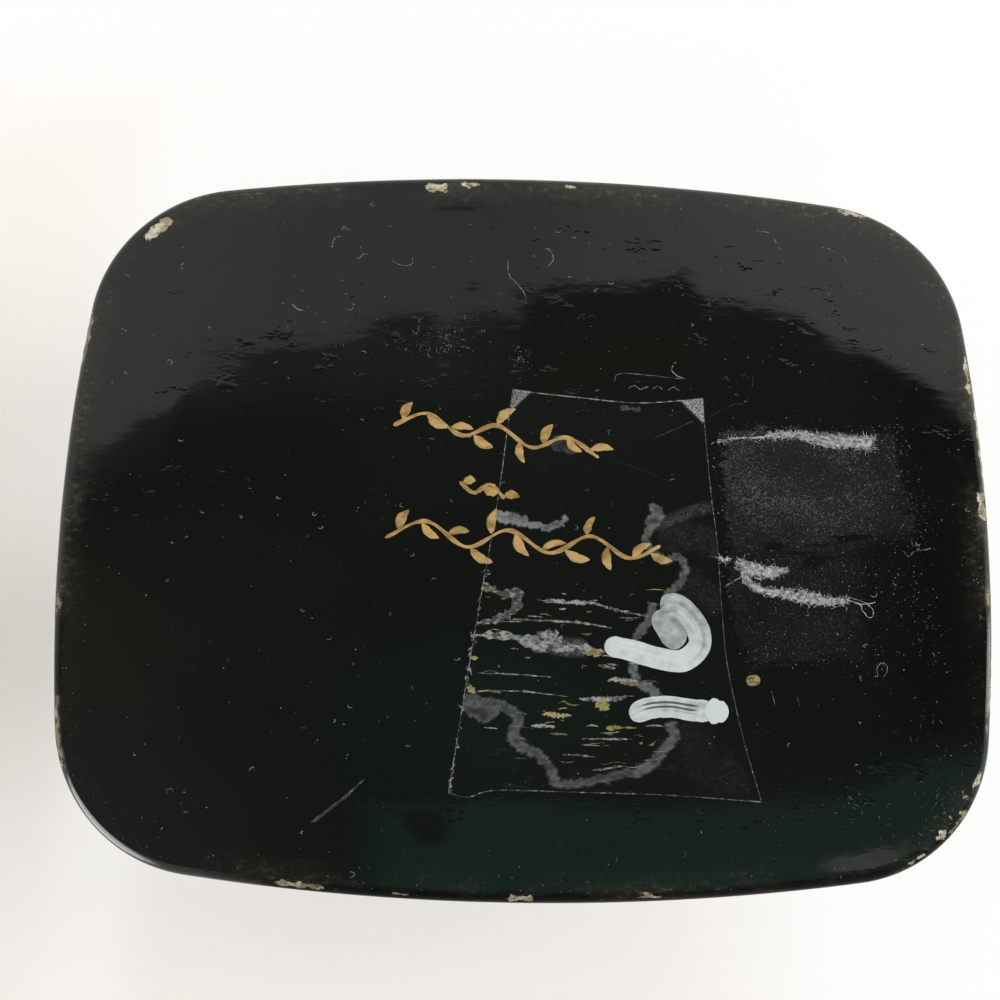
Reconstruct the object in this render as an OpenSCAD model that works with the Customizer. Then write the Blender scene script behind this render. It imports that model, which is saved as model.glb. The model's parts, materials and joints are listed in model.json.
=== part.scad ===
// Lacquered papier mache box with a lift-off lid.
// The box stands on its underside at z = 0, centred on the z axis, with its long side along x.
// Every piece follows one plan outline: four shallow bowed sides joined by four tangent corner arcs.

/* [Box] */
// Width over the bows of the short sides
box_w = 127; // [112:1:150]
// Depth over the bows of the long sides
box_d = 100; // [88:1:120]
// Height of the base, from the table to the seam under the lid
base_h = 39; // [28:1:60]
// Height of the lid, from the seam to the top of its crown
lid_h = 23; // [20:0.5:34]

/* [Outline] */
// Radius of the four corners
corner_r = 21; // [16:0.5:28]
// Radius of the bowed long sides
long_bow_r = 326; // [240:2:600]
// Radius of the bowed short sides
short_bow_r = 238; // [180:2:500]

/* [Base] */
// Thickness of the moulded wall of the base
wall_t = 3; // [2.4:0.1:4]
// Thickness of the floor board
floor_t = 3.2; // [2.6:0.1:5]
// Rounding of the floor board's lower edge
edge_r = 1.5; // [0.8:0.1:2.2]
// Width of the flat ring that the box stands on
foot_w = 5; // [3.5:0.5:7]
// Depth of the shallow hollow inside that ring
hollow = 0.4; // [0.3:0.05:0.6]
// Width of the slope between the ring and the hollow
slope_w = 5; // [3:0.5:7]

/* [Collar] */
// Thickness of the pasteboard collar inside the base wall
collar_t = 1.5; // [1:0.1:2.5]
// Height that the collar stands above the seam
collar_stand = 7; // [4:0.5:9]
// Play between the collar and the wall of the lid, all round
lid_play = 0.3; // [0.2:0.05:0.5]

/* [Lid] */
// Rise of the crown above the wall of the lid
crown_h = 8; // [5:0.5:10]
// Thickness of the moulded top at the middle of its crown
top_t = 2.6; // [1.8:0.1:3.6]

/* [Linings] */
// Thickness of the pasted lining papers
lining_t = 0.5; // [0.3:0.05:0.9]
// Gap left between the floor lining and the collar
lining_gap = 0.4; // [0.2:0.1:1]

/* [Tape and label] */
// Length of the clear tape on the underside
tape_len = 54.5; // [40:0.5:60]
// Width of the tape's narrow end
tape_narrow_w = 26.5; // [20:0.5:32]
// Width of the tape's wide end
tape_wide_w = 40.5; // [34:0.5:46]
// Thickness of the tape
tape_t = 0.1; // [0.06:0.02:0.16]
// Distance from the right side of the hollow to the tape's wide end
tape_side_gap = 22.8; // [21:0.2:30]
// Distance from the back of the hollow to the tape's wide end
tape_back_gap = 2.8; // [2:0.2:8]
// Distance from the right side of the hollow to the torn label scraps
scrap_side_gap = 5.6; // [4.4:0.2:8]
// Length of each torn scrap
scrap_len = 16.6; // [12:0.2:17]
// Width of a torn scrap at its widest
scrap_w = 3.6; // [2:0.2:5]
// Distance between the two scraps, across the box
scrap_pitch = 21; // [16:0.5:24]
// Thickness of the torn scraps
scrap_t = 0.14; // [0.08:0.02:0.2]

/* [Hidden] */

black_lacquer = "#1b1d1b";
lining_black = "#26221e";
paper_tan = "#b9a27c";
label_white = "#d8d8d4";

half_w = box_w / 2;
half_d = box_d / 2;
lid_wall_t = wall_t - lid_play;
crown_z = base_h + lid_h - crown_h;
hollow_side = half_w - foot_w - slope_w;
hollow_back = half_d - foot_w - slope_w;

// Steps that each kind of arc is drawn in
corner_steps = 12;
long_steps = 10;
short_steps = 8;
edge_steps = 5;

// Angles, in degrees, of the rings that make the crown
crown_angles = [0, 9, 18, 27, 36, 45, 54, 63, 72, 80, 86];
// Powers of the crown's section: a higher shoulder power keeps it level further out
shoulder_power = 3.5;
rise_power = 2.2;

// Steps along a torn scrap, the turns of its ragged edge, and how deep that edge bites
scrap_steps = 12;
scrap_turns = 3.5;
scrap_bite = 0.2;

// Centres of the bows, seen from the middle of the box
long_centre = [0, half_d - long_bow_r];
short_centre = [half_w - short_bow_r, 0];

// A corner arc touches both bows, so its centre is where two circles round their centres cross
to_long = long_bow_r - corner_r;
to_short = short_bow_r - corner_r;
between = short_centre - long_centre;
span = norm(between);
along = (to_long * to_long - to_short * to_short + span * span) / (2 * span);
across = sqrt(to_long * to_long - along * along);
unit = between / span;
corner_centre = long_centre + unit * along + [unit.y, -unit.x] * across;

// Angles at which the corner arc meets the short bow and the long bow
short_a = atan2(corner_centre.y - short_centre.y, corner_centre.x - short_centre.x);
long_a = atan2(corner_centre.y - long_centre.y, corner_centre.x - long_centre.x);

// Points along an arc, without its last one, which starts the next arc
function arc(centre, r, from, to, steps) =
    [for (i = [0 : steps - 1]) let (t = from + (to - from) * i / steps) centre + r * [cos(t), sin(t)]];

// The plan outline drawn in by an inset, anticlockwise from the right
function outline(inset) =
    let (
        corner = corner_r - inset,
        long_r = long_bow_r - inset,
        short_r = short_bow_r - inset,
        c = corner_centre
    )
    concat(
        arc(short_centre, short_r, -short_a, short_a, short_steps),
        arc(c, corner, short_a, long_a, corner_steps),
        arc(long_centre, long_r, long_a, 180 - long_a, long_steps),
        arc([-c.x, c.y], corner, 180 - long_a, 180 - short_a, corner_steps),
        arc(-short_centre, short_r, 180 - short_a, 180 + short_a, short_steps),
        arc(-c, corner, 180 + short_a, 180 + long_a, corner_steps),
        arc(-long_centre, long_r, 180 + long_a, 360 - long_a, long_steps),
        arc([c.x, -c.y], corner, 360 - long_a, 360 - short_a, corner_steps)
    );

// One ring of the outline at a height, drawn in by an inset and then shrunk towards the middle
function ring(inset, z, shrink = 1) = [for (p = outline(inset)) [p.x * shrink, p.y * shrink, z]];

// The rings of a crown over an inset outline, from its edge to its flat middle
function crown(inset, z, rise) =
    let (top_sin = sin(max(crown_angles)))
    [for (t = crown_angles)
        ring(inset, z + rise * pow(sin(t) / top_sin, 2 / rise_power), pow(cos(t), 2 / shoulder_power))];

function reversed(list) = [for (i = [len(list) - 1 : -1 : 0]) list[i]];

// A closed solid through a list of rings, with a flat cap on the first ring and on the last
module loft(rings) {
    n = len(rings[0]);
    last = (len(rings) - 1) * n;
    sides = [for (k = [0 : len(rings) - 2], j = [0 : n - 1])
        let (next = (j + 1) % n) [k * n + j, (k + 1) * n + j, (k + 1) * n + next, k * n + next]];
    caps = [[for (j = [0 : n - 1]) j], [for (j = [n - 1 : -1 : 0]) last + j]];
    polyhedron(points = [for (r = rings) each r], faces = concat(sides, caps));
}

// An upright wall that follows the outline, between two insets and two heights
module upright_wall(outer, inner, low, high) {
    translate([0, 0, low])
        linear_extrude(high - low)
            difference() {
                polygon(outline(outer));
                polygon(outline(inner));
            }
}

// A level sheet that fills the outline inside an inset
module level_sheet(inset, low, thickness) {
    translate([0, 0, low])
        linear_extrude(thickness)
            polygon(outline(inset));
}

// The board has a rounded lower edge and stands on a flat ring round a shallow hollow
module floor_board() {
    edge = [for (i = [0 : edge_steps])
        let (t = 90 * i / edge_steps) ring(edge_r * (1 - sin(t)), edge_r * (1 - cos(t)))];
    past = hollow / slope_w;
    color(black_lacquer)
        difference() {
            loft(concat(edge, [ring(0, floor_t)]));
            loft([ring(foot_w - 1, -past), ring(foot_w + slope_w, hollow)]);
        }
}

module base_wall() {
    color(black_lacquer)
        upright_wall(0, wall_t, floor_t, base_h);
}

module inner_collar() {
    color(lining_black)
        upright_wall(wall_t, wall_t + collar_t, floor_t, base_h + collar_stand);
}

module floor_lining() {
    color(paper_tan)
        level_sheet(wall_t + collar_t + lining_gap, floor_t, lining_t);
}

// The tape lies in the hollow of the underside, with its wide end to the back
module clear_tape() {
    taper = (tape_wide_w - tape_narrow_w) / 2;
    color([0.85, 0.88, 0.88, 0.35])
        translate([hollow_side - tape_side_gap, hollow_back - tape_back_gap, hollow - tape_t])
            linear_extrude(tape_t)
                polygon([
                    [0, 0],
                    [-tape_wide_w, 0],
                    [-tape_wide_w + taper, -tape_len],
                    [-taper, -tape_len]
                ]);
}

// A sliver of torn paper that narrows to its left, with one ragged edge
module torn_scrap(lean) {
    ragged = [for (i = [0 : scrap_steps])
        let (f = i / scrap_steps, w = scrap_w * (1 - f * f))
        [-scrap_len * f, w * (1 - scrap_bite * pow(sin(180 * scrap_turns * f), 2)) + lean * f]];
    color(label_white)
        translate([hollow_side - scrap_side_gap, 0, hollow - scrap_t])
            linear_extrude(scrap_t)
                polygon(concat(ragged, [[0, 0]]));
}

// Two scraps that a label left behind, beside the tape
module label_scraps() {
    translate([0, -scrap_pitch * 2 / 3, 0])
        torn_scrap(1.4);
    translate([0, scrap_pitch / 3, 0])
        torn_scrap(-4);
}

module lid_wall() {
    color(black_lacquer)
        upright_wall(0, lid_wall_t, base_h, crown_z);
}

module lid_top() {
    color(black_lacquer)
        loft(concat(
            reversed(crown(lid_wall_t, crown_z, crown_h - top_t)),
            crown(0, crown_z, crown_h)
        ));
}

module lid_lining() {
    color(lining_black)
        loft(concat(
            reversed(crown(lid_wall_t + lining_t, crown_z, crown_h - top_t - lining_t)),
            crown(lid_wall_t, crown_z, crown_h - top_t)
        ));
}

floor_board();
base_wall();
inner_collar();
floor_lining();
clear_tape();
label_scraps();
lid_wall();
lid_top();
lid_lining();
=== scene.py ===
import json
import math

import bmesh
import bpy
import numpy as np
from mathutils import Matrix, Vector

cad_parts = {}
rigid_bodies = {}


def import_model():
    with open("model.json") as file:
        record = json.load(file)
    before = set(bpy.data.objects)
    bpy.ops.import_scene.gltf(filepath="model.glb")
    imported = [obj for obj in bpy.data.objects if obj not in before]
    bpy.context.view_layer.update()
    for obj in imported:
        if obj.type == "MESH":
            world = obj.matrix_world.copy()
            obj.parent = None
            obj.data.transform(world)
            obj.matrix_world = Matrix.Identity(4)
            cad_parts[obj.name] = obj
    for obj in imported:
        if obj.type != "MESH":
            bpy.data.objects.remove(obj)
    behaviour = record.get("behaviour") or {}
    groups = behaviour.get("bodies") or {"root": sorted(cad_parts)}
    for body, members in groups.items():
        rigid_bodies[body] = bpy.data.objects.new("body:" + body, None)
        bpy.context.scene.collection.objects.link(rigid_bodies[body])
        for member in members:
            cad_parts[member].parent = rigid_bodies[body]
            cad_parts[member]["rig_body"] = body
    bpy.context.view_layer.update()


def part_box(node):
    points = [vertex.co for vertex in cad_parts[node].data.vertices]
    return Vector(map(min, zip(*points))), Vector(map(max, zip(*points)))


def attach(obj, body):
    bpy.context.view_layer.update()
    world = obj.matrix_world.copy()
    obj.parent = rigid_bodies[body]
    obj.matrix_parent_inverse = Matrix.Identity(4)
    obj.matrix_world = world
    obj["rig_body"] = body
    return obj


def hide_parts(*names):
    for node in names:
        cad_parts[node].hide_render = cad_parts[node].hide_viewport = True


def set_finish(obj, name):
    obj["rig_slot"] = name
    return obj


# A black lacquered papier mache box, seen from below in the photograph.
# Lengths in the dictionaries are millimetres, as in the model's own source; meshes are written in metres.

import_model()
mm = 0.001


# Shared mesh code

def gridFaces(rows, columns, wrapRows, wrapColumns, first, flip):
    # One quad between each pair of neighbouring rows and columns; a wrapped direction joins its ends
    i, j = np.meshgrid(
        np.arange(rows if wrapRows else rows - 1),
        np.arange(columns if wrapColumns else columns - 1),
        indexing="ij",
    )
    nextRow = (i + 1) % rows
    nextColumn = (j + 1) % columns
    row, after = i * columns, nextRow * columns
    corners = [row + j, after + j, after + nextColumn, row + nextColumn]
    if flip:
        corners = corners[::-1]
    return np.stack([c.ravel() for c in corners], axis=1) + first


def surface(points, wrapRows=False, wrapColumns=False, flip=False, **marks):
    # A grid of points in millimetres, with any named value per point beside it
    return {"points": points, "wrap": (wrapRows, wrapColumns), "flip": flip, "marks": marks}


def makePiece(name, surfaces, finish, body, slot, merge=0.0):
    # Several grids become one mesh that rides on a body; merge closes seams and poles, in millimetres
    points = []
    faces = []
    first = 0
    for part in surfaces:
        rows, columns = part["points"].shape[:2]
        faces.append(gridFaces(rows, columns, *part["wrap"], first, part["flip"]))
        points.append(part["points"].reshape(-1, 3))
        first += rows * columns
    points = np.concatenate(points) * mm
    faces = np.concatenate(faces)
    mesh = bpy.data.meshes.new(name)
    mesh.vertices.add(len(points))
    mesh.vertices.foreach_set("co", points.astype(np.float32).ravel())
    mesh.loops.add(faces.size)
    mesh.loops.foreach_set("vertex_index", faces.ravel().astype(np.int32))
    mesh.polygons.add(len(faces))
    mesh.polygons.foreach_set("loop_start", np.arange(0, faces.size, 4, dtype=np.int32))
    mesh.update(calc_edges=True)
    mesh.polygons.foreach_set("use_smooth", np.ones(len(faces), bool))
    for mark in sorted({name for part in surfaces for name in part["marks"]}):
        parts = [(part["marks"].get(mark, 0.0), part["points"].shape[:2]) for part in surfaces]
        values = np.concatenate([np.broadcast_to(value, shape).ravel() for value, shape in parts])
        layer = mesh.attributes.new(mark, "FLOAT", "POINT")
        layer.data.foreach_set("value", values.astype(np.float32))
    mesh.materials.append(finish)
    piece = bpy.data.objects.new(name, mesh)
    bpy.context.scene.collection.objects.link(piece)
    if merge:
        closeSeams(mesh, merge * mm)
    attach(piece, body)
    if slot:
        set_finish(piece, slot)
    return piece


def closeSeams(mesh, distance):
    # Joins points that lie together and drops the faces that this leaves without area
    work = bmesh.new()
    work.from_mesh(mesh)
    bmesh.ops.remove_doubles(work, verts=work.verts, dist=distance)
    bmesh.ops.dissolve_degenerate(work, edges=work.edges, dist=distance * 0.5)
    work.to_mesh(mesh)
    work.free()


def smoothStep(low, high, value):
    # From 0 to 1 between low and high with a level start and end; low may be the greater of the two
    share = np.clip((value - low) / (high - low), 0, 1)
    return share * share * (3 - 2 * share)


def toward(aim):
    # Unit step in plan at an angle
    return np.array([math.cos(aim), math.sin(aim)])


# Plan outline: four shallow bows joined by four tangent corner arcs

baseLow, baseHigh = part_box("base_wall")
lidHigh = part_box("lid_top")[1]
outline = {
    "halfWidth": (baseHigh.x - baseLow.x) / 2 / mm,
    "halfDepth": (baseHigh.y - baseLow.y) / 2 / mm,
    "cornerRadius": 21.0,
    "longBowRadius": 326.0,
    "shortBowRadius": 238.0,
    "around": 800,  # points round the outline, a multiple of eight
}


def solveOutline(o):
    # A corner arc touches both bows, so its centre is where two circles round their centres cross
    longCentre = np.array([0, o["halfDepth"] - o["longBowRadius"]])
    shortCentre = np.array([o["halfWidth"] - o["shortBowRadius"], 0])
    toLong = o["longBowRadius"] - o["cornerRadius"]
    toShort = o["shortBowRadius"] - o["cornerRadius"]
    between = shortCentre - longCentre
    span = np.hypot(*between)
    along = (toLong**2 - toShort**2 + span**2) / (2 * span)
    across = math.sqrt(toLong**2 - along**2)
    unit = between / span
    corner = longCentre + unit * along + np.array([unit[1], -unit[0]]) * across
    o["cornerCentre"] = corner
    o["shortAngle"] = math.atan2(*(corner - shortCentre)[::-1])
    o["longAngle"] = math.atan2(*(corner - longCentre)[::-1])
    o["shortReach"] = o["shortAngle"] * o["shortBowRadius"]
    o["cornerReach"] = (o["longAngle"] - o["shortAngle"]) * o["cornerRadius"]
    o["longReach"] = (math.pi / 2 - o["longAngle"]) * o["longBowRadius"]


solveOutline(outline)


def outlineFrame(share):
    # Share runs once round, anticlockwise from the middle of the right side, and each eighth of it ends
    # at the middle of a side or of a corner. Gives the arc's centre and radius and the outward direction.
    o = outline
    quarter = np.floor(share * 4).astype(int) % 4
    inQuarter = share * 4 - np.floor(share * 4)
    inQuarter = np.where(quarter % 2 == 0, inQuarter, 1 - inQuarter)
    toCorner = o["shortReach"] + o["cornerReach"] / 2
    fromCorner = o["longReach"] + o["cornerReach"] / 2
    reach = np.where(inQuarter < 0.5, inQuarter * 2 * toCorner, toCorner + (inQuarter * 2 - 1) * fromCorner)
    onShort = reach < o["shortReach"]
    onLong = reach > o["shortReach"] + o["cornerReach"]
    angle = np.where(
        onShort,
        reach / o["shortBowRadius"],
        np.where(
            onLong,
            o["longAngle"] + (reach - o["shortReach"] - o["cornerReach"]) / o["longBowRadius"],
            o["shortAngle"] + (reach - o["shortReach"]) / o["cornerRadius"],
        ),
    )
    radius = np.where(onShort, o["shortBowRadius"], np.where(onLong, o["longBowRadius"], o["cornerRadius"]))
    centreX = np.where(onShort, o["halfWidth"] - radius, np.where(onLong, 0, o["cornerCentre"][0]))
    centreY = np.where(onShort, 0, np.where(onLong, o["halfDepth"] - radius, o["cornerCentre"][1]))
    signX = np.where((quarter == 1) | (quarter == 2), -1, 1)
    signY = np.where(quarter >= 2, -1, 1)
    centre = np.stack([centreX * signX, centreY * signY], axis=-1)
    outward = np.stack([np.cos(angle) * signX, np.sin(angle) * signY], axis=-1)
    return centre, radius, outward


ringShare = np.arange(outline["around"]) / outline["around"]
ringCentre, ringRadius, ringOutward = outlineFrame(ringShare)


def ring(inset):
    # The outline drawn in by an inset, as an array of points in plan
    return ringCentre + (ringRadius - inset)[:, None] * ringOutward


def sweep(profile, shrinks=None):
    # Carries a profile of insets and heights round the outline; each shrink pulls its ring to the middle
    rows = []
    for k, (inset, height) in enumerate(profile):
        plan = ring(inset) * (1 if shrinks is None else shrinks[k])
        rows.append(np.column_stack([plan, np.full(len(plan), height)]))
    return np.array(rows)


# Hand-worked unevenness of the papier mache: many long waves of small height

unevenness = {
    "seed": 690,
    "waves": 46,
    "shortest": 10.0,
    "longest": 48.0,
    "steepness": 0.0055,  # root mean square slope of the whole surface
    "brushing": 2.4,  # how much longer the ridges run along x than across
}


def waveTable(u):
    draw = np.random.default_rng(u["seed"])
    length = np.exp(draw.uniform(math.log(u["shortest"]), math.log(u["longest"]), u["waves"]))
    turn = draw.uniform(0, math.pi, u["waves"])
    number = 2 * math.pi / length
    waveX = number * np.cos(turn) / u["brushing"]
    waveY = number * np.sin(turn)
    height = u["steepness"] * math.sqrt(2 / u["waves"]) / np.hypot(waveX, waveY)
    phase = draw.uniform(0, 2 * math.pi, u["waves"])
    return waveX, waveY, np.minimum(height, 0.05), phase


waveX, waveY, waveHeight, wavePhase = waveTable(unevenness)


def uneven(x, y):
    # Sum of all the waves at a point in plan
    total = np.zeros(np.shape(x))
    for k in range(len(waveX)):
        total = total + waveHeight[k] * np.sin(waveX[k] * x + waveY[k] * y + wavePhase[k])
    return total


# Material building

def newMaterial(name, color, roughness):
    # Plain values go on the shader's own sockets; what varies is linked by the caller
    material = bpy.data.materials.new(name)
    material.use_nodes = True
    shader = material.node_tree.nodes["Principled BSDF"]
    shader.inputs["Base Color"].default_value = (*color, 1)
    shader.inputs["Roughness"].default_value = roughness
    return material, Nodes(material.node_tree), shader


class Nodes:
    # Short calls for the node types that the finishes share
    def __init__(self, tree):
        self.tree = tree
        self.coords = None

    def add(self, kind, **values):
        node = self.tree.nodes.new(kind)
        for key, value in values.items():
            setattr(node, key, value)
        return node

    def link(self, source, target):
        self.tree.links.new(source, target)

    def place(self, scale=(1, 1, 1), offset=(0, 0, 0)):
        # Object coordinates, stretched and moved
        if self.coords is None:
            self.coords = self.add("ShaderNodeTexCoord")
        mapping = self.add("ShaderNodeMapping")
        mapping.inputs["Scale"].default_value = scale
        mapping.inputs["Location"].default_value = offset
        self.link(self.coords.outputs["Object"], mapping.inputs["Vector"])
        return mapping.outputs["Vector"]

    def noise(self, scale, detail, roughness=0.55, distortion=0.0, offset=(0, 0, 0)):
        # The scale is in lumps per metre along each axis
        node = self.add("ShaderNodeTexNoise")
        values = {"Scale": 1.0, "Detail": detail, "Roughness": roughness, "Distortion": distortion}
        for socket, number in values.items():
            node.inputs[socket].default_value = number
        self.link(self.place(scale, offset), node.inputs["Vector"])
        return node.outputs["Fac"]

    def range(self, value, low, high, toLow=0.0, toHigh=1.0, kind="SMOOTHSTEP"):
        node = self.add("ShaderNodeMapRange", interpolation_type=kind)
        for socket, number in (("From Min", low), ("From Max", high), ("To Min", toLow), ("To Max", toHigh)):
            node.inputs[socket].default_value = number
        self.link(value, node.inputs["Value"])
        return node.outputs["Result"]

    def curve(self, value, points):
        # Piecewise straight curve through the points, level beyond its ends
        total = None
        for (x0, y0), (x1, y1) in zip(points[:-1], points[1:]):
            part = self.range(value, x0, x1, 0.0, y1 - y0, "LINEAR")
            total = part if total is None else self.plus(total, part)
        return self.plus(total, points[0][1])

    def feed(self, sockets, values):
        # A number or a colour is set on its socket, and another node's output is linked to it
        for socket, value in zip(sockets, values):
            if isinstance(value, tuple):
                socket.default_value = (*value, 1)
            elif isinstance(value, (int, float)):
                socket.default_value = value
            else:
                self.link(value, socket)

    def math(self, operation, *values):
        node = self.add("ShaderNodeMath", operation=operation)
        self.feed(node.inputs, values)
        return node.outputs["Value"]

    def plus(self, a, b):
        return self.math("ADD", a, b)

    def minus(self, a, b):
        return self.math("SUBTRACT", a, b)

    def times(self, first, *others):
        for other in others:
            first = self.math("MULTIPLY", first, other)
        return first

    def most(self, a, b):
        return self.math("MAXIMUM", a, b)

    def mix(self, share, a, b):
        node = self.add("ShaderNodeMix", data_type="RGBA")
        self.feed((node.inputs[0], node.inputs[6], node.inputs[7]), (share, a, b))
        return node.outputs[2]

    def mark(self, name):
        return self.add("ShaderNodeAttribute", attribute_name=name).outputs["Fac"]

    def bump(self, heights, shader):
        # Stacks several heights, each with its depth in metres, on one normal
        normal = None
        for height, depth in heights:
            node = self.add("ShaderNodeBump")
            node.inputs["Strength"].default_value = 1.0
            node.inputs["Distance"].default_value = depth
            self.link(height, node.inputs["Height"])
            if normal is not None:
                self.link(normal, node.inputs["Normal"])
            normal = node.outputs["Normal"]
        self.link(normal, shader.inputs["Normal"])


lacquer = {
    "black": (0.0034, 0.0037, 0.0034),
    "brownBlack": (0.0062, 0.0056, 0.0046),
    "greenBlack": (0.0040, 0.0082, 0.0070),
    "gesso": (0.74, 0.70, 0.56),
    "pulp": (0.40, 0.33, 0.20),
    "soot": (0.05, 0.045, 0.04),
    "gloss": 0.04,  # roughness of the sound lacquer
    "worn": 0.09,  # roughness where handling has dulled it
    "brushDepth": 6.0e-6,  # metres from trough to ridge of a brush mark
    "nibDepth": 0.7e-6,
    "dentDepth": 1.6e-5,
    "dirt": (0.060, 0.052, 0.036),
    "dirtPale": (0.20, 0.18, 0.13),
}


def makeLacquer():
    v = lacquer
    material, n, shader = newMaterial("black_lacquer", v["black"], v["gloss"])
    blotch = n.noise((14, 26, 20), 5)
    brown = n.mix(n.range(blotch, 0.42, 0.70), v["black"], v["brownBlack"])
    tint = n.noise((9, 16, 12), 2, offset=(0.4, 0.2, 0.7))
    coat = n.mix(n.range(tint, 0.50, 0.74), brown, v["greenBlack"])
    # Chips: the mark gives where, fine noise gives each its ragged edge
    ragged = n.noise((900, 900, 900), 6, 0.65)
    chip = n.plus(n.mark("chip"), n.range(ragged, 0.3, 0.7, -0.34, 0.34, "LINEAR"))
    bare = n.range(chip, 0.46, 0.54)
    under = n.mix(n.range(n.noise((420, 420, 420), 5), 0.42, 0.62), v["pulp"], v["gesso"])
    grimy = n.mix(n.range(n.noise((1500, 1500, 1500), 3), 0.52, 0.72), under, v["soot"])
    # Dirt packed along the lower edge, in specks and short runs
    specks = n.noise((700, 1100, 900), 5, 0.7)
    drift = n.noise((60, 90, 60), 3)
    held = n.times(n.mark("rim"), n.range(drift, 0.36, 0.62))
    dirty = n.times(held, n.range(specks, 0.42, 0.60, 0.45, 1.0))
    dirtTone = n.mix(n.range(specks, 0.56, 0.68), v["dirt"], v["dirtPale"])
    soiled = n.mix(dirty, coat, dirtTone)
    n.link(n.mix(bare, soiled, grimy), shader.inputs["Base Color"])
    # Streaky dulling along the brush strokes
    streaks = n.noise((60, 420, 420), 6, 0.6)
    dull = n.range(streaks, 0.50, 0.80, v["gloss"], v["worn"])
    rough = n.add("ShaderNodeMix", data_type="FLOAT")
    n.link(n.most(bare, n.times(dirty, 0.8)), rough.inputs[0])
    n.link(dull, rough.inputs[2])
    rough.inputs[3].default_value = 0.85
    n.link(rough.outputs[0], shader.inputs["Roughness"])
    # Painted shade: where the rounding is marked dull its reflection is taken away, so it stays dark
    n.link(n.range(n.mark("dull"), 0.0, 1.0, 0.5, 0.0, "LINEAR"), shader.inputs["Specular IOR Level"])
    brush = n.noise((200, 500, 500), 3, 0.5, 0.3)
    nib = n.noise((700, 1300, 1300), 1)
    dents = n.range(n.noise((210, 330, 330), 3, 0.7, offset=(0.3, 0.1, 0.5)), 0.60, 0.74)
    n.bump([(brush, v["brushDepth"]), (nib, v["nibDepth"]), (dents, v["dentDepth"]), (bare, -6e-5)], shader)
    return material


lacquerFinish = makeLacquer()
print("stage: finishes started")


# Moulded shells

base = {
    "height": baseHigh.z / mm,  # seam above the table
    "floor": 3.2,
    "wall": 3.0,
    "edge": 1.5,  # rounding of the lower edge
    "hollow": 0.4,
    "hollowEdge": 0.94,  # share of the half width at which the dish starts
    "hollowFlat": 0.42,
    "lip": 0.55,  # rounding at the seam
    "gridInset": 17.0,  # where the rings of the underside give way to a square grid
    "wallInset": 0.05,
    "waviness": 0.45,  # of the wall, as a share of the unevenness
    # Ranges over which dirt and the dull painted shade of the lower edge fade: x and y in plan, and the
    # distance in from the rounding's middle
    "cornerX": (-30, -46),
    "cornerY": (20, 34),
    "sideX": (50, 60),
    "sideY": ((9, 15), (38, 32)),
    "nearY": (5, 32),
    "scuffShadeIn": ((1.3, 0.9), (-7, -3)),
    "blackIn": ((-0.45, -0.8), (-4, -2)),
    # The share of reflection lost on the near side is painted shade along the rounding
    "scuff": 0.88,  # how much of its shine the near side has lost
    "cleaned": 0.8,  # how much less dirt there is on the two clean stretches
}
farUp = -99  # stands for a place well up the wall, where no mark of the edge reaches

edgeKnocks = [
    # plan position, half length, half width, how far in from the middle of the rounding, depth, strength
    ((-53.6, -40.9), 2.5, 0.95, 2.0, 0.12, 1.0),
    ((-61.9, -24.0), 4.2, 0.55, 0.0, 0.1, 0.8),
    ((-61.6, 12.3), 2.2, 0.5, 0.3, 0.1, 0.8),
    ((-60.9, 29.6), 5.5, 0.5, 0.2, 0.1, 0.82),
    ((-13.9, -48.0), 1.8, 0.75, 1.6, 0.15, 1.0),
    ((-9.1, -48.5), 1.5, 0.55, 1.1, 0.15, 0.95),
    ((5.4, -48.6), 1.0, 0.4, 1.1, 0.1, 0.85),
    ((46.2, -46.4), 2.6, 0.6, 0.5, 0.1, 0.95),
    ((61.9, -22.0), 3.5, 0.4, 0.6, 0.05, 0.80),
    ((63.0, -12.0), 7.5, 0.38, -0.1, 0.08, 0.86),
    ((63.0, -3.0), 2.2, 0.75, 0.6, 0.15, 1.0),
    ((62.9, 10.0), 1.2, 0.5, 0.5, 0.1, 0.9),
    ((60.1, 34.2), 1.7, 0.6, 0.7, 0.1, 0.86),
    ((54.7, 41.4), 1.5, 0.9, 1.2, 0.1, 0.84),
    ((56.6, 39.2), 2.2, 0.5, 0.3, 0.1, 0.62),
    ((57.2, 38.6), 6.0, 1.3, 0.9, 0.03, 0.42),
    ((50.9, 43.9), 1.6, 0.45, 0.5, 0.1, 0.60),
    ((61.8, 22.0), 5.0, 0.42, -0.1, 0.06, 0.80),
    ((16.0, 49.0), 1.6, 0.4, 0.4, 0.1, 0.86),
    ((-0.6, 49.6), 2.0, 0.45, 0.4, 0.1, 0.9),
    ((-15.9, 49.4), 1.2, 0.4, 0.4, 0.1, 0.86),
    ((-28.7, 48.6), 3.6, 0.45, 0.4, 0.1, 0.84),
]


ringAngle = np.unwrap(np.arctan2(ring(0)[:, 1], ring(0)[:, 0]))
ringReach = np.hypot(*ring(0).T)


def shrinkAt(x, y):
    # Share of the outline's own reach at which a plan point lies
    reach = np.interp(np.mod(np.arctan2(y, x), 2 * math.pi), ringAngle, ringReach, period=2 * math.pi)
    return np.clip(np.hypot(x, y) / reach, 0, 1)


def undersideHeight(x, y):
    # A shallow dish inside the foot ring: a fourth-power oval gives how far out a point lies
    b = base
    out = ((x / outline["halfWidth"]) ** 4 + (y / outline["halfDepth"]) ** 4) ** 0.25
    share = 1 - smoothStep(b["hollowFlat"], b["hollowEdge"], out)
    return share * b["hollow"] + smoothStep(0, 0.25, share) * uneven(x, y)


def wallDip(share):
    # Hand-worked wall: how far it lies inside the true outline
    turn = share * 2 * math.pi
    wave = uneven(90 * np.cos(turn), 70 * np.sin(turn)) + 0.08
    return base["wallInset"] + base["waviness"] * wave


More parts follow.
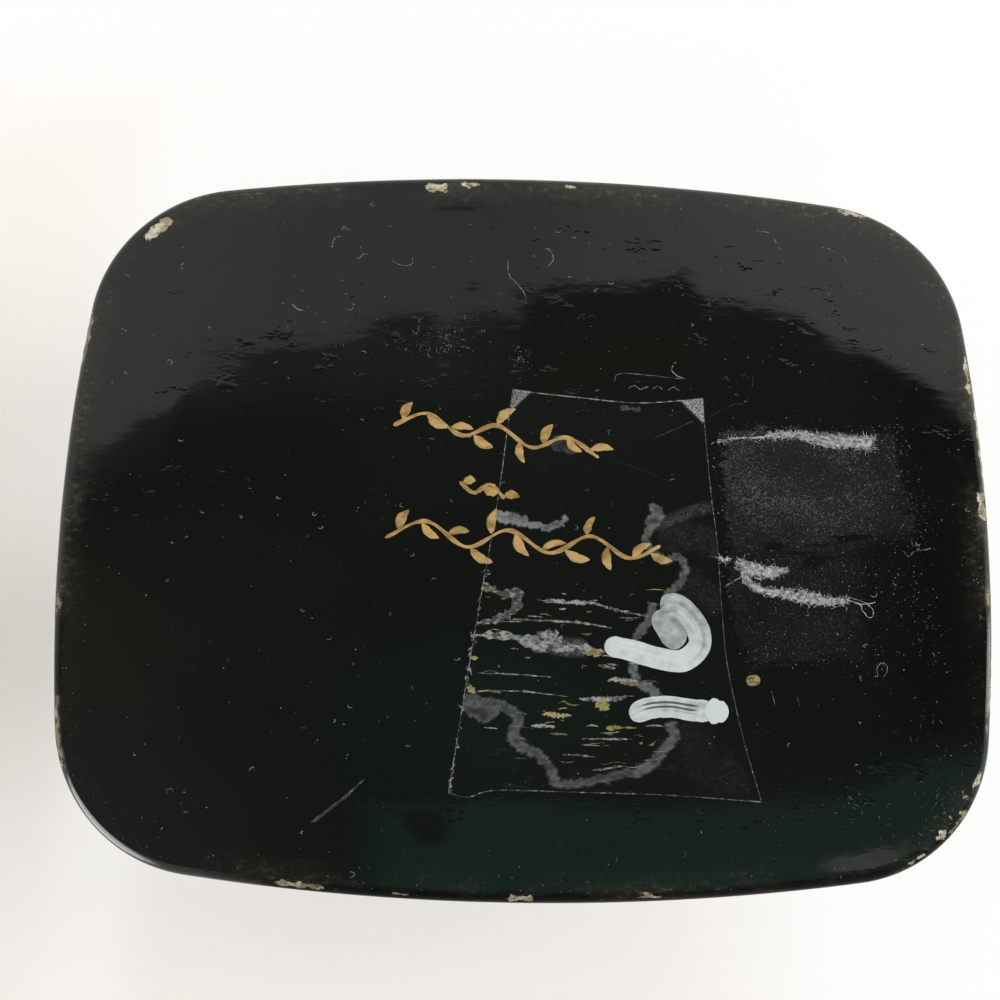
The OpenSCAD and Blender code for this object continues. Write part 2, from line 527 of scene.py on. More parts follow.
def knockMarks(plan, across, knocks):
    # Each knock falls off smoothly along the edge and across the rounding; the deepest one counts
    mark = np.zeros(across.shape)
    depth = np.zeros(across.shape)
    wobble = 0.3 * np.sin(plan[..., 0] * 2.9) * np.sin(plan[..., 1] * 2.3)
    for at, halfLength, halfWidth, inset, deep, strength in knocks:
        away = np.hypot(plan[..., 0] - at[0], plan[..., 1] - at[1])
        aside = (across - inset + wobble) / halfWidth
        form = np.exp(-((away / halfLength) ** 4) - aside**4)
        mark = np.maximum(mark, form * strength)
        depth = np.maximum(depth, form * deep)
    return mark, depth


def edgeProfile(b):
    # Section of the shell from the underside round the lower edge and up the wall:
    # inset, height, direction that points out of the shell and distance in from the rounding's middle
    rows = []
    for inset in np.linspace(b["gridInset"], b["edge"], 34, endpoint=False):
        rows.append((inset, 0, 0, -1, inset - b["edge"] + math.pi / 4 * b["edge"]))
    for turn in np.linspace(0, math.pi / 2, 9):
        sine, cosine = math.sin(turn), math.cos(turn)
        fromMiddle = (math.pi / 4 - turn) * b["edge"]
        rows.append((b["edge"] * (1 - sine), b["edge"] * (1 - cosine), sine, -cosine, fromMiddle))
    for height in np.concatenate([np.linspace(2.0, 5.0, 6), np.linspace(8, b["height"] - 2, 7)]):
        rows.append((0, height, 1, 0, -height))
    for turn in np.linspace(0, math.pi / 2, 6):
        inset = b["lip"] * (1 - math.cos(turn))
        height = b["height"] - b["lip"] * (1 - math.sin(turn))
        rows.append((inset, height, math.cos(turn), math.sin(turn), farUp))
    rows.append((b["wall"], b["height"], 0, 1, farUp))
    rows.append((b["wall"], b["floor"], -1, 0, farUp))
    rows.append((b["gridInset"], b["floor"], 0, 1, farUp))
    return np.array(rows)


def squareGrid(inset):
    # Concentric squares mapped on rings of the outline, so the last square is the ring itself
    side = outline["around"] // 4 + 1
    u, v = np.meshgrid(np.linspace(-1, 1, side), np.linspace(-1, 1, side), indexing="ij")
    size = np.maximum(np.abs(u), np.abs(v))
    safe = np.where(size == 0, 1, size)
    p, q = u / safe, v / safe
    share = np.where(
        (p >= 1) & (np.abs(q) < 1 + 1e-9), q / 8,
        np.where(q >= 1, 0.25 - p / 8, np.where(p <= -1, 0.5 - q / 8, 0.75 + p / 8)),
    ) % 1.0
    centre, radius, outward = outlineFrame(share)
    plan = (centre + (radius - inset)[..., None] * outward) * size[..., None]
    return plan


def makeBaseShell():
    b = base
    section = edgeProfile(b)
    points = sweep(section[:, :2])
    plan = points[..., :2]
    under = np.broadcast_to((section[:, 3] == -1)[:, None], plan.shape[:2])
    points[..., 2] += np.where(under, undersideHeight(plan[..., 0], plan[..., 1]), 0)
    mark, depth = knockMarks(plan, np.broadcast_to(section[:, 4][:, None], plan.shape[:2]), edgeKnocks)
    inward = -np.concatenate(
        [ringOutward[None] * section[:, 2][:, None, None],
         np.broadcast_to(section[:, 3][:, None, None], (*plan.shape[:2], 1))], axis=-1)
    points += inward * depth[..., None]
    wall = (section[:, 1] > 3) & (section[:, 1] < b["height"] - 1) & (section[:, 2] == 1)
    points[..., :2] -= ringOutward * wallDip(ringShare)[:, None] * wall[:, None, None]
    rim = np.exp(-((np.maximum(section[:, 4], 0) / 2.6) ** 2)) * (section[:, 4] > -6)
    toTop = smoothStep(-25, 20, -ringCentre[:, 1] - ringRadius * ringOutward[:, 1])
    rim = rim[:, None] * (0.48 + 0.44 * toTop + 0.25 * np.sin(ringShare * 40) * np.sin(ringShare * 23 + 1))
    # The near side of the rounding is dulled dark as painted shade, but for its left corner and a stretch on
    # the right
    x, y = plan[..., 0], plan[..., 1]
    leftCorner = smoothStep(*b["cornerX"], x) * smoothStep(*b["cornerY"], y)
    along = smoothStep(*b["sideY"][0], y) * smoothStep(*b["sideY"][1], y)
    clean = np.maximum(leftCorner, smoothStep(*b["sideX"], x) * along)
    rim = rim * (1 - b["cleaned"] * clean)
    nearSide = b["scuff"] * smoothStep(*b["nearY"], y) * (1 - clean)
    scuffed, black = (
        (smoothStep(*start, section[:, 4]) * smoothStep(*end, section[:, 4]))[:, None]
        for start, end in (b["scuffShadeIn"], b["blackIn"])
    )
    # Those two get the same painted shade, black, only where they turn into the wall
    dull = np.maximum(nearSide * scuffed, clean * black)
    middle = squareGrid(b["gridInset"])
    height = undersideHeight(middle[..., 0], middle[..., 1])
    underside = np.concatenate([middle, height[..., None]], axis=-1)
    insideFloor = sweep([(b["gridInset"], b["floor"])] * 3, [1, 0.5, 0])
    return makePiece(
        "base_shell",
        [
            surface(points, False, True, True, chip=mark, rim=rim, dull=dull),
            surface(underside, flip=True),
            surface(insideFloor, False, True, True),
        ],
        lacquerFinish, "base", "black_lacquer", merge=0.002,
    )


baseShell = makeBaseShell()
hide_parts("floor_board", "base_wall")
print("stage: base shell")


# Strokes: a closed ribbon with an oval section, carried along a path and laid on a surface

def spline(knots, count):
    # Catmull-Rom curve through the knots, in equal steps of the knot number
    k = np.asarray(knots, float)
    k = np.vstack([2 * k[0] - k[1], k, 2 * k[-1] - k[-2]])
    place = np.linspace(0, len(k) - 3 - 1e-9, count)
    i = place.astype(int)
    t = (place - i)[:, None]
    a, b, c, d = k[i], k[i + 1], k[i + 2], k[i + 3]
    return 0.5 * (2 * b + (c - a) * t + (2 * a - 5 * b + 4 * c - d) * t**2 + (3 * b - a - 3 * c + d) * t**3)


def roundEnds(path, half):
    # Half width along the path, closing in a half circle at both ends
    step = np.hypot(*np.diff(path, axis=0).T)
    gone = np.concatenate([[0], np.cumsum(step)])
    nearest = np.minimum(gone, gone[-1] - gone)
    reach = np.clip(nearest / half, 0, 1)
    return half * np.sqrt(np.clip(1 - (1 - reach) ** 2, 1e-6, 1))


def leafHalf(count, half, peak=0.42):
    # Half width along a leaf or brush stroke, widest at the peak and pointed at both ends
    t = np.linspace(0, 1, count)
    share = np.where(t < peak, t / peak, (1 - t) / (1 - peak))
    return half * np.sin(np.clip(share, 0.001, 1) * math.pi / 2) ** 0.8


def ragged(draw, count, depth, step=3):
    # Uneven factor round 1 along a path, drawn every few points and smoothed between them
    coarse = draw.uniform(1 - depth, 1 + depth, count // step + 3)
    return np.interp(np.arange(count) / step, np.arange(len(coarse)), coarse)


def stroke(path, half, thick, settle, sides=8, shade=0.5, lift=0.0, ridges=0, closed=False):
    # Rows run along the path and columns round the section; a ridged stroke has streaks along it. Its two
    # ends come together in a point each, unless its path is closed.
    path = np.asarray(path, float)
    along = np.gradient(path, axis=0)
    along /= np.maximum(np.hypot(*along.T), 1e-9)[:, None]
    sideways = np.column_stack([-along[:, 1], along[:, 0]])
    turn = np.arange(sides) / sides * 2 * math.pi
    half = np.broadcast_to(half, (len(path),))
    swell = np.clip(half / max(half.max(), 1e-9), 0, 1) ** 0.5
    across = half[:, None] * np.cos(turn)
    rise = thick * swell[:, None] * (0.5 + 0.5 * np.sin(turn))
    if ridges:
        rise = rise * (1 + 0.22 * np.cos(ridges * math.pi * np.cos(turn)))
    points = settle(path[:, None, 0] + sideways[:, None, 0] * across,
                    path[:, None, 1] + sideways[:, None, 1] * across, rise + lift)
    if not closed:
        points[[0, -1]] = points[[0, -1]].mean(axis=1, keepdims=True)
    return surface(points, closed, True, shade=np.broadcast_to(shade, points.shape[:2]))


def fleck(spot, aim, reach, half, rise, settle, shade):
    # The smallest stroke: a sliver two steps long, pointed at both ends
    step = reach * toward(aim)
    path = [spot - step, spot, spot + step]
    return stroke(path, np.array([1e-5, half, 1e-5]), rise, settle, 4, shade)


def leafPath(start, aim, bend, length, count, first=0.5):
    # Two steps from the start, the second turned by the bend
    tip = np.array(start) + first * length * toward(aim)
    return spline([start, tip, tip + 0.5 * length * toward(aim + bend)], count)


def onUnderside(x, y, rise):
    # Lays plan points on the underside; rise counts away from the box, so downwards
    return np.stack([x, y, undersideHeight(x, y) - rise], axis=-1)


def onEdge(x, y, rise):
    # As on the underside, and round the lower edge's rounding outside it
    reach = np.hypot(x, y)
    inset = np.maximum((1 - shrinkAt(x, y)) * reach / np.maximum(shrinkAt(x, y), 0.1), 0)
    past = np.clip(base["edge"] - inset, 0, base["edge"])
    lift = base["edge"] - np.sqrt(base["edge"] ** 2 - past**2)
    return np.stack([x, y, undersideHeight(x, y) + lift - rise], axis=-1)


def distanceTo(x, y, path):
    # Shortest distance from each point to a line through the path's points
    best = np.full(np.shape(x), 1e9)
    for (ax, ay), (bx, by) in zip(path[:-1], path[1:]):
        dx, dy = bx - ax, by - ay
        t = np.clip(((x - ax) * dx + (y - ay) * dy) / (dx * dx + dy * dy + 1e-12), 0, 1)
        best = np.minimum(best, np.hypot(x - ax - t * dx, y - ay - t * dy))
    return best


# Paint and paper finishes for the strokes

def makePaint(name, color, deep, roughness, streak, contrast):
    # One paint: the tone varies with the stroke's own shade and with fine streaks, and the coat is uneven
    material, n, shader = newMaterial(name, color, roughness)
    grain = n.noise(streak, 4)
    tone = n.plus(n.mark("shade"), n.range(grain, 0.3, 0.7, -contrast / 2, contrast / 2, "LINEAR"))
    n.link(n.mix(n.range(tone, 0.1, 0.9), deep, color), shader.inputs["Base Color"])
    n.bump([(grain, 2.5e-5)], shader)
    return material


goldFinish = makePaint("gold_paint", (0.60, 0.39, 0.13), (0.30, 0.18, 0.045), 0.42, (500, 900, 500), 0.9)
penFinish = makePaint("pen_white", (0.70, 0.76, 0.75), (0.10, 0.11, 0.11), 0.30, (700, 700, 700), 0.3)
# Pale paint for the flakes and the adhesive, and for the painted highlights along the tape's cut edges
paleFinish = makePaint("pale_scuff_and_painted_highlight", (0.34, 0.34, 0.33), (0.045, 0.045, 0.043), 0.8, (1400, 2600, 1400), 1.4)
tanFinish = makePaint("tan_flake", (0.40, 0.31, 0.16), (0.13, 0.10, 0.04), 0.8, (1200, 2600, 1200), 1.2)
limeFinish = makePaint("lime_flake", (0.33, 0.31, 0.07), (0.10, 0.10, 0.02), 0.7, (1200, 2200, 1200), 1.0)
fibreFinish = makePaint("paper_fibre", (0.66, 0.67, 0.68), (0.11, 0.115, 0.12), 0.9, (1700, 2300, 1700), 1.0)
dustFinish = makePaint("dust", (0.34, 0.34, 0.33), (0.03, 0.03, 0.028), 0.9, (600, 600, 600), 0.4)


# Gold brushwork on the underside: plain sprigs in three rows

goldRows = {
    "seed": 5,
    "half": 0.44,  # half width of a brush line
    "thick": 0.05,
    "steps": 90,  # points along a stem, and along a leaf
    "leafSteps": 22,
    "spread": (0.75, 1.15),  # angle between stem and leaf
    "leafBend": 0.45,
    "leafWidth": (1.2, 1.6),  # in widths of the line
    "stems": [
        {"knots": [(-19.0, -12.6), (-14.2, -14.4), (-9.4, -11.4), (-4.6, -12.9), (0.2, -9.9), (5.0, -11.4),
                   (9.6, -8.6)], "leaves": 9, "leaf": 3.1},
        {"knots": [(-9.6, -4.9), (-7.6, -3.4), (-5.4, -4.6), (-3.4, -2.6)], "leaves": 3, "leaf": 2.0},
        {"knots": [(-19.6, 3.1), (-14.0, 0.7), (-8.4, 4.1), (-2.8, 1.7), (2.8, 4.7), (8.4, 2.3), (13.6, 5.2),
                   (18.0, 3.4)], "leaves": 12, "leaf": 3.3},
    ],
}


def makeGoldRows(g):
    draw = np.random.default_rng(g["seed"])
    last = g["steps"] - 1
    bag = []
    for stem in g["stems"]:
        path = spline(stem["knots"], g["steps"])
        half = g["half"] * 0.62 * ragged(draw, g["steps"], 0.35) * roundEnds(path, 0.4) / 0.4
        bag.append(stroke(path, half, g["thick"], onUnderside, shade=draw.uniform(0.4, 0.7)))
        places = np.linspace(0.05, 0.95, stem["leaves"])
        for k, place in enumerate(places):
            i = int(place * last)
            ahead = path[min(i + 2, last)] - path[max(i - 2, 0)]
            side = 1 if k % 2 else -1
            aim = math.atan2(ahead[1], ahead[0]) + side * draw.uniform(*g["spread"])
            length = stem["leaf"] * draw.uniform(0.8, 1.1)
            start = path[i] + 0.25 * toward(aim)
            leaf = leafPath(start, aim, -side * g["leafBend"], length, g["leafSteps"], 0.55)
            half = leafHalf(g["leafSteps"], g["half"] * draw.uniform(*g["leafWidth"]))
            half = half * ragged(draw, g["leafSteps"], 0.18)
            bag.append(stroke(leaf, half, g["thick"] * 1.4, onUnderside, shade=draw.uniform(0.4, 0.95)))
    makePiece("gold_sprigs", bag, goldFinish, "base", None, merge=0.001)


makeGoldRows(goldRows)


# Two white strokes of a paint pen

penStrokes = {
    "seed": 8,
    "half": 1.62,
    "thick": 0.16,
    "sides": 44,
    "steps": 150,
    # The hook and the bar: path, growth in width, tones along it and dry streaks by their place across it
    "strokes": [
        ([(10.2, 16.9), (13.8, 17.6), (17.6, 18.6), (20.8, 18.8), (23.0, 16.7), (22.4, 13.9), (20.0, 11.6),
          (17.8, 12.0)], (0.84, 1.04), (0.84, 0.84, 0.56, 0.50), []),
        ([(13.6, 26.3), (15.9, 25.2), (18.9, 24.9), (21.9, 25.3), (24.9, 25.4)],
         (0.86, 0.9), (0.80, 0.70, 0.66, 0.72), [-0.42, 0.02, 0.34]),
    ],
    # Thinner paint inside the hook and a second load at the bar's end: path, half width, thickness,
    # lift, shade and roughness of the border
    "loads": [
        ([(17.9, 12.0), (18.4, 13.8), (19.6, 15.6), (20.8, 16.8)], 1.75, 0.09, 0.0, 0.47, 0.05),
        ([(23.5, 25.3), (26.7, 25.5)], 1.6, 0.12, 0.1, 0.92, 0.14),
    ],
}


def makePenStrokes(p):
    draw = np.random.default_rng(p["seed"])
    bag = []
    sides, count = p["sides"], p["steps"]
    across = np.cos(np.arange(sides) / sides * 2 * math.pi)
    run = np.linspace(0, 1, count)[:, None]
    for knots, grow, tones, gaps in p["strokes"]:
        path = spline(knots, count)
        width = np.interp(run[:, 0], [0, 1], grow)
        half = roundEnds(path, p["half"]) * width * ragged(draw, count, 0.04, 7)
        # Streaks follow the stroke: each place across it has a tone, which drifts along the run
        streak = np.interp(across, np.linspace(-1, 1, 12), draw.uniform(-0.5, 0.5, 12))
        drift = np.interp(across, np.linspace(-1, 1, 12), draw.uniform(-0.5, 0.5, 12))
        tone = np.interp(run, [0, 0.45, 0.65, 1], tones) + 0.26 * ((1 - run) * streak + run * drift)
        dry = smoothStep(0.12, 0.3, run) * (1 - smoothStep(0.72, 0.84, run))
        for gap in gaps:
            tone = tone - 1.1 * dry * np.exp(-(((across - gap) / 0.045) ** 2))
        bag.append(stroke(path, half, p["thick"], onUnderside, sides, tone, ridges=4))
    for knots, half, thick, rise, shade, rough in p["loads"]:
        path = spline(knots, 60)
        width = roundEnds(path, half) * ragged(draw, 60, rough, 9)
        bag.append(stroke(path, width, thick, onUnderside, 30, shade, rise, 2))
    makePiece("pen_strokes", bag, penFinish, "base", None, merge=0.001)


makePenStrokes(penStrokes)
print("stage: gold sprigs and pen strokes")


# Flaked lacquer and grime under the tape

flakes = {
    "pale": [
        ([(-7.2, 15.8), (-3.8, 15.9), (-0.4, 16.4), (2.2, 16.6), (4.5, 17.3), (7.2, 17.4), (10.0, 17.6)],
         0.75, 0.52),
        ([(0.6, 16.3), (2.4, 16.8), (4.6, 17.0)], 1.15, 0.55),
        ([(-1.6, 13.8), (4.1, 13.9), (8.3, 14.2), (11.3, 14.7)], 0.13, 0.5),
        ([(1.1, 11.1), (5.3, 11.3), (9.3, 11.4)], 0.28, 0.6),
        ([(8.6, 11.4), (12.5, 12.4), (16.7, 13.1)], 0.18, 0.45),
        ([(9.4, 19.6), (11.7, 20.0)], 0.20, 0.5),
        ([(10.6, 21.5), (14.7, 21.6)], 0.30, 0.75),
        ([(6.8, 24.0), (10.2, 24.1), (13.2, 23.8)], 0.32, 0.5),
        ([(0.5, 27.6), (3.8, 27.7)], 0.22, 0.7),
        ([(7.2, 29.2), (13.9, 29.2)], 0.12, 0.4),
        ([(-6.8, 20.9), (-2.0, 21.0), (3.4, 21.3)], 0.09, 0.35),
        ([(-7.4, 23.2), (-1.0, 23.2), (5.5, 23.8)], 0.10, 0.35),
        ([(5.2, 31.2), (9.0, 31.5)], 0.12, 0.4),
        ([(-5.9, 8.9), (-4.3, 10.1), (-1.4, 10.4), (-2.1, 12.7), (-4.6, 13.8), (-7.0, 14.4)], 0.62, 0.22),
        ([(8.6, 33.2), (12.8, 32.6)], 0.14, 0.45),
    ],
    "tan": [
        ([(1.9, 26.1), (5.9, 26.3)], 0.30, 0.75),
        ([(7.6, 17.9), (10.3, 17.9)], 0.40, 0.45),
        ([(9.2, 24.4), (10.7, 24.9)], 0.34, 0.5),
        ([(-7.9, 22.6), (-6.9, 23.5)], 0.38, 0.5),
        ([(12.2, 21.9), (14.9, 22.0)], 0.22, 0.4),
        ([(3.0, 28.6), (5.4, 28.7)], 0.12, 0.35),
    ],
    "lime": [
        ([(9.0, 24.9), (9.9, 24.7), (10.8, 25.1)], 0.55, 0.8),
        ([(-2.8, 10.4), (-0.9, 10.3)], 0.30, 0.8),
        ([(10.5, 27.7), (12.4, 27.7)], 0.30, 0.5),
        ([(-7.7, 18.9), (-6.6, 19.0)], 0.22, 0.7),
        ([(-6.4, 9.6), (-5.2, 9.9)], 0.30, 0.45),
    ],
    "spotAt": (30.1, 21.3),
    "spotHalf": 0.72,
    "seed": 21,
    "slivers": 70,
    "sliverX": (-7.0, 17.0),
    "sliverY": (9.5, 33.0),
    "sliverLength": (0.5, 3.2),
}


def makeFlakes(f):
    draw = np.random.default_rng(f["seed"])
    finishes = {"pale": paleFinish, "tan": tanFinish, "lime": limeFinish}
    bags = {tone: [] for tone in finishes}
    for tone, bag in bags.items():
        for knots, half, shade in f[tone]:
            count = 64
            path = spline(knots, count)
            path[:, 1] += (ragged(draw, count, 0.35, 5) - 1) * half
            width = leafHalf(count, half, 0.5) ** 0.6 * half**0.4 * ragged(draw, count, 0.7, 2)
            bag.append(stroke(path, width, 0.02, onUnderside, 8, shade))
    # Slivers along the brush marks, where the coat has lifted with the tape
    for k in range(f["slivers"]):
        x = draw.uniform(*f["sliverX"])
        y = draw.uniform(*f["sliverY"])
        length = draw.uniform(*f["sliverLength"])
        bend, drop = draw.normal(0, 0.12), draw.normal(0, 0.2)
        path = spline([(x, y), (x + length / 2, y + bend), (x + length, y + drop)], 18)
        width = leafHalf(18, draw.uniform(0.03, 0.13), 0.5) * ragged(draw, 18, 0.6, 2)
        tone = ("pale", "pale", "tan", "lime")[draw.integers(0, 4)]
        bags[tone].append(stroke(path, width, 0.015, onUnderside, 6, draw.uniform(0.1, 0.7)))
    spot = spline([np.array(f["spotAt"]) + step for step in ((-0.95, 0.15), (0, 0), (0.95, -0.15))], 24)
    bags["tan"].append(stroke(spot, roundEnds(spot, f["spotHalf"]), 0.06, onUnderside, 12, 0.32))
    for tone, bag in bags.items():
        makePiece(f"{tone}_flakes", bag, finishes[tone], "base", None, merge=0.0008)


makeFlakes(flakes)


# Clear tape: a thin film between four curved edges

tape = {
    "left": [(-2.5, -18.2), (-4.4, -2.0), (-7.2, 16.1), (-10.1, 36.4)],
    "right": [(24.1, -17.4), (24.3, -13.0), (25.0, -3.7), (25.7, 3.0), (26.1, 11.8), (26.7, 19.4),
              (28.5, 28.6), (30.7, 36.9)],
    "top": [(-2.5, -18.0), (6.4, -17.2), (15.1, -16.6), (24.1, -17.4)],
    "bottom": [(-10.1, 36.3), (-7.6, 36.8), (-3.9, 35.9), (6.4, 36.0), (18.3, 36.2), (30.7, 36.9)],
    "thick": 0.05,
    "gap": 0.012,  # between the tape and the lacquer
    "grid": (130, 230),  # points across it and along it
    "cornerFold": ((2.8, 0.55), (3.6, 0.9)),  # size and paleness of the lifted corners at the narrow end
    "foldRise": 0.09,
    "seed": 33,
    "edgeSteps": 260,
    "beads": 46,  # of adhesive along the left edge
    # Half width of the painted highlight line along each cut edge, how uneven it is, and its shade
    "edges": [("top", 0.075, 0.3, 0.62), ("left", 0.045, 0.5, 0.42), ("right", 0.055, 0.4, 0.16),
              ("bottom", 0.055, 0.8, 0.20)],
    "clouds": [
        # path, half width, strength
        ([(-4.9, -0.3), (-2.6, 0.0), (-0.9, 0.4)], 0.8, 1.0),
        ([(-0.9, 0.5), (2.2, 1.2), (4.4, 0.6), (4.9, 0.1)], 0.42, 0.9),
        ([(17.2, -1.6), (17.6, -0.6), (16.6, 0.4)], 0.8, 0.55),
        ([(16.4, 0.8), (16.0, 2.8), (17.0, 4.6), (18.9, 5.3), (20.6, 5.0), (21.3, 6.6)], 0.5, 0.42),
        ([(21.3, 6.6), (20.4, 8.6), (18.9, 10.2)], 0.5, 0.5),
        ([(16.9, 11.8), (16.2, 13.6), (14.8, 15.6)], 0.6, 0.42),
        ([(13.9, 19.5), (14.6, 21.6), (16.6, 22.8), (17.6, 24.2)], 0.55, 0.6),
        ([(19.0, 27.4), (19.6, 28.6), (18.2, 30.2), (16.6, 32.2), (14.6, 33.4)], 0.66, 0.46),
        ([(14.6, 33.2), (10.4, 34.1), (6.4, 35.0), (3.9, 34.9)], 0.5, 0.34),
        ([(3.9, 34.9), (3.2, 33.4), (1.6, 31.4), (-0.6, 30.4), (-2.0, 29.0)], 0.60, 0.38),
        ([(-2.0, 29.0), (-1.2, 27.2), (-1.4, 26.2), (-3.4, 25.2), (-8.4, 24.2)], 0.7, 0.36),
        ([(-8.0, 25.2), (-5.6, 26.4), (-4.4, 25.6)], 0.95, 0.34),
        ([(3.8, -10.6), (5.6, -10.0)], 1.0, 0.16),
        ([(12.9, -15.9), (14.9, -15.6)], 0.3, 0.3),
    ],
    "grain": [
        # path, half width and strength of the finely speckled areas
        ([(17.6, 0.6), (21.0, -0.9), (24.4, -2.0)], 1.0, 0.18),
        ([(19.5, 2.4), (22.5, 1.8), (25.0, 3.0)], 2.4, 0.06),
        ([(22.0, 8.4), (24.5, 10.6)], 2.6, 0.05),
        ([(22.0, 28.5), (23.0, 32.5), (27.0, 34.0)], 3.0, 0.03),
        ([(4.0, 17.2), (6.8, 17.4)], 1.3, 0.5),
    ],
}


def tapeGrid(t, columns, rows):
    # Bilinearly blended patch between the four edge curves
    top, bottom = spline(t["top"], columns), spline(t["bottom"], columns)
    left, right = spline(t["left"], rows), spline(t["right"], rows)
    u = np.linspace(0, 1, columns)[None, :, None]
    v = np.linspace(0, 1, rows)[:, None, None]
    plan = (1 - v) * top[None] + v * bottom[None] + (1 - u) * left[:, None] + u * right[:, None]
    return plan - (
        (1 - u) * (1 - v) * top[0] + u * (1 - v) * top[-1] + (1 - u) * v * bottom[0] + u * v * bottom[-1]
    )


def makeTapeFinish():
    material, n, shader = newMaterial("clear_film", (0.62, 0.64, 0.64), 0.28)
    speckle = n.noise((3400, 3400, 3400), 2, 0.7)
    coarse = n.noise((620, 900, 620), 4, 0.6)
    cloud = n.times(n.mark("cloud"), n.range(coarse, 0.30, 0.62, 0.30, 1.0))
    fine = n.plus(n.range(speckle, 0.50, 0.72, 0.06, 0.42), n.range(coarse, 0.4, 0.7, 0.0, 0.10))
    grain = n.times(n.mark("grain"), fine)
    fold = n.times(n.mark("fold"), n.range(speckle, 0.35, 0.62, 0.06, 0.42))
    film = n.most(n.most(n.times(cloud, 0.30), grain), fold)
    n.link(n.most(film, 0.0008), shader.inputs["Alpha"])
    n.bump([(coarse, 1.2e-5)], shader)
    return material


def makeTape(t):
    plan = tapeGrid(t, *t["grid"])
    x, y = plan[..., 0], plan[..., 1]
    cloud = np.zeros(x.shape)
    for path, half, strength in t["clouds"]:
        away = distanceTo(x, y, spline(path, 24)) + 0.2 * np.sin(x * 2.7 + 1.3) * np.sin(y * 3.1)
        away += 0.12 * np.sin(x * 7.1 + y * 2.3) * np.sin(y * 6.3 - x)
        # Paler towards its border, and crisp there
        rim = 0.62 + 0.38 * smoothStep(half * 0.2, half * 0.8, away)
        form = rim * (1 - smoothStep(half * 0.8, half * 1.1, away))
        cloud = np.maximum(cloud, strength * form)
    grain = np.zeros(x.shape)
    for path, half, strength in t["grain"]:
        away = distanceTo(x, y, path)
        grain = np.maximum(grain, strength * (1 - smoothStep(half * 0.4, half * 1.2, away)))
    fold = np.zeros(x.shape)
    for corner, (size, paleness) in zip((t["top"][0], t["top"][-1]), t["cornerFold"]):
        reach = np.abs(x - corner[0]) + np.abs(y - corner[1])
        creased = 1 + 0.5 * smoothStep(size * 0.7, size * 0.85, reach)
        fold = np.maximum(fold, paleness * creased * (1 - smoothStep(size * 0.92, size, reach)))
    rise = t["gap"] + t["foldRise"] * np.minimum(fold, 1)
    edge = np.zeros(x.shape)
    edge[1:-1, 1:-1] = 1
    marks = {"cloud": cloud, "grain": grain, "fold": fold}
    outer = surface(onUnderside(x, y, rise + t["thick"] * edge), **marks)
    inner = surface(onUnderside(x, y, rise), flip=True, **marks)
    film = makePiece("tape_film", [outer, inner], makeTapeFinish(), "base", "clear_tape", merge=0.0005)
    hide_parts("clear_tape")
    # Painted highlights: the cut edges are drawn as thin uneven pale lines where they would catch the light
    draw = np.random.default_rng(t["seed"])
    bag = []
    count = t["edgeSteps"]
    for side, half, depth, shade in t["edges"]:
        path = spline(t[side], count)
        path += draw.normal(0, 0.012, path.shape)
        width = half * ragged(draw, count, depth, 2)
        tone = shade * ragged(draw, count, 0.6, 5)
        bag.append(stroke(path, width, 0.03, onUnderside, 6, tone[:, None], 0.03))
    # Adhesive worked out from under the lower part of the left edge
    lower = spline(t["left"], 100)[48:]
    for k in range(t["beads"]):
        spot = lower[draw.integers(0, len(lower))] + draw.normal(0, 0.16, 2)
        path = spline([spot, spot + draw.normal(0, 0.2, 2), spot + draw.normal(0, 0.35, 2)], 8)
        half = leafHalf(8, draw.uniform(0.04, 0.12), 0.5)
        bag.append(stroke(path, half, 0.03, onUnderside, 5, draw.uniform(0.3, 0.9), 0.02))
    makePiece("tape_edge_highlights_and_glue", bag, paleFinish, "base", "clear_tape", merge=0.0005)


makeTape(tape)
print("stage: tape")


# Where a label was pulled off: a dull speckled square and two torn strips

residue = {
    "corners": [(26.1, -13.9), (33.0, -14.5), (39.7, -14.4), (47.2, -14.3), (51.5, -13.7), (51.9, -6.9),
                (53.9, -2.6), (53.6, 2.7), (52.6, 9.0), (53.7, 14.1), (54.5, 18.7), (48.7, 19.8),
                (41.0, 19.5), (31.4, 20.6), (28.6, 19.7), (26.5, 12.1), (26.0, 1.7), (25.6, -6.3)],
    "middle": (40.0, 2.6),
    "around": 240,
    "rings": 60,
    "gap": 0.002,  # between the residue and the lacquer
    "crumbs": 3000,
    "crumbSeed": 29,
    "fibreSeed": 17,
    # Cleaner spots: middle, and reach in x and in y
    "bare": [((38.5, 4.6), 3.0, 1.6), ((44.2, 2.0), 3.2, 1.0), ((33.5, 3.0), 2.5, 1.2)],
    "strips": [
        # path, half widths along it, fibres
        ([(25.8, -11.2), (28.4, -11.8), (31.6, -12.0), (34.3, -12.4)], (0.10, 0.13, 0.14, 0.28), 70),
        ([(33.6, -12.4), (37.0, -12.5), (39.6, -11.9), (42.3, -11.7), (45.0, -11.6), (47.6, -11.6)],
         (0.30, 0.36, 0.80, 0.90, 0.92, 1.0), 1150),
        ([(28.6, 5.7), (30.2, 6.4), (32.4, 6.8), (34.9, 6.5)], (0.5, 1.05, 0.85, 0.25), 520),
        ([(28.9, 6.6), (29.9, 8.2), (31.8, 9.3), (34.1, 9.6)], (0.4, 0.45, 0.5, 0.55), 260),
        ([(33.6, 9.5), (37.2, 10.1), (39.8, 10.5), (42.9, 10.6)], (0.5, 0.85, 0.6, 0.55), 560),
        ([(25.9, 4.8), (26.5, 5.3), (27.2, 5.0)], (0.28, 0.3, 0.22), 40),
    ],
    "threads": [
        [(42.9, 10.3), (44.7, 10.8), (45.2, 11.8), (46.0, 12.7), (46.6, 12.2), (46.3, 11.2), (45.3, 10.6)],
        [(43.2, 9.9), (45.3, 10.6), (46.7, 11.7)],
        [(37.4, 12.6), (37.9, 12.4), (37.7, 11.9), (38.1, 11.2)],
        [(26.6, 8.8), (28.8, 7.5)],
        [(47.0, 10.6), (45.0, 10.9), (43.4, 10.4)],
    ],
}


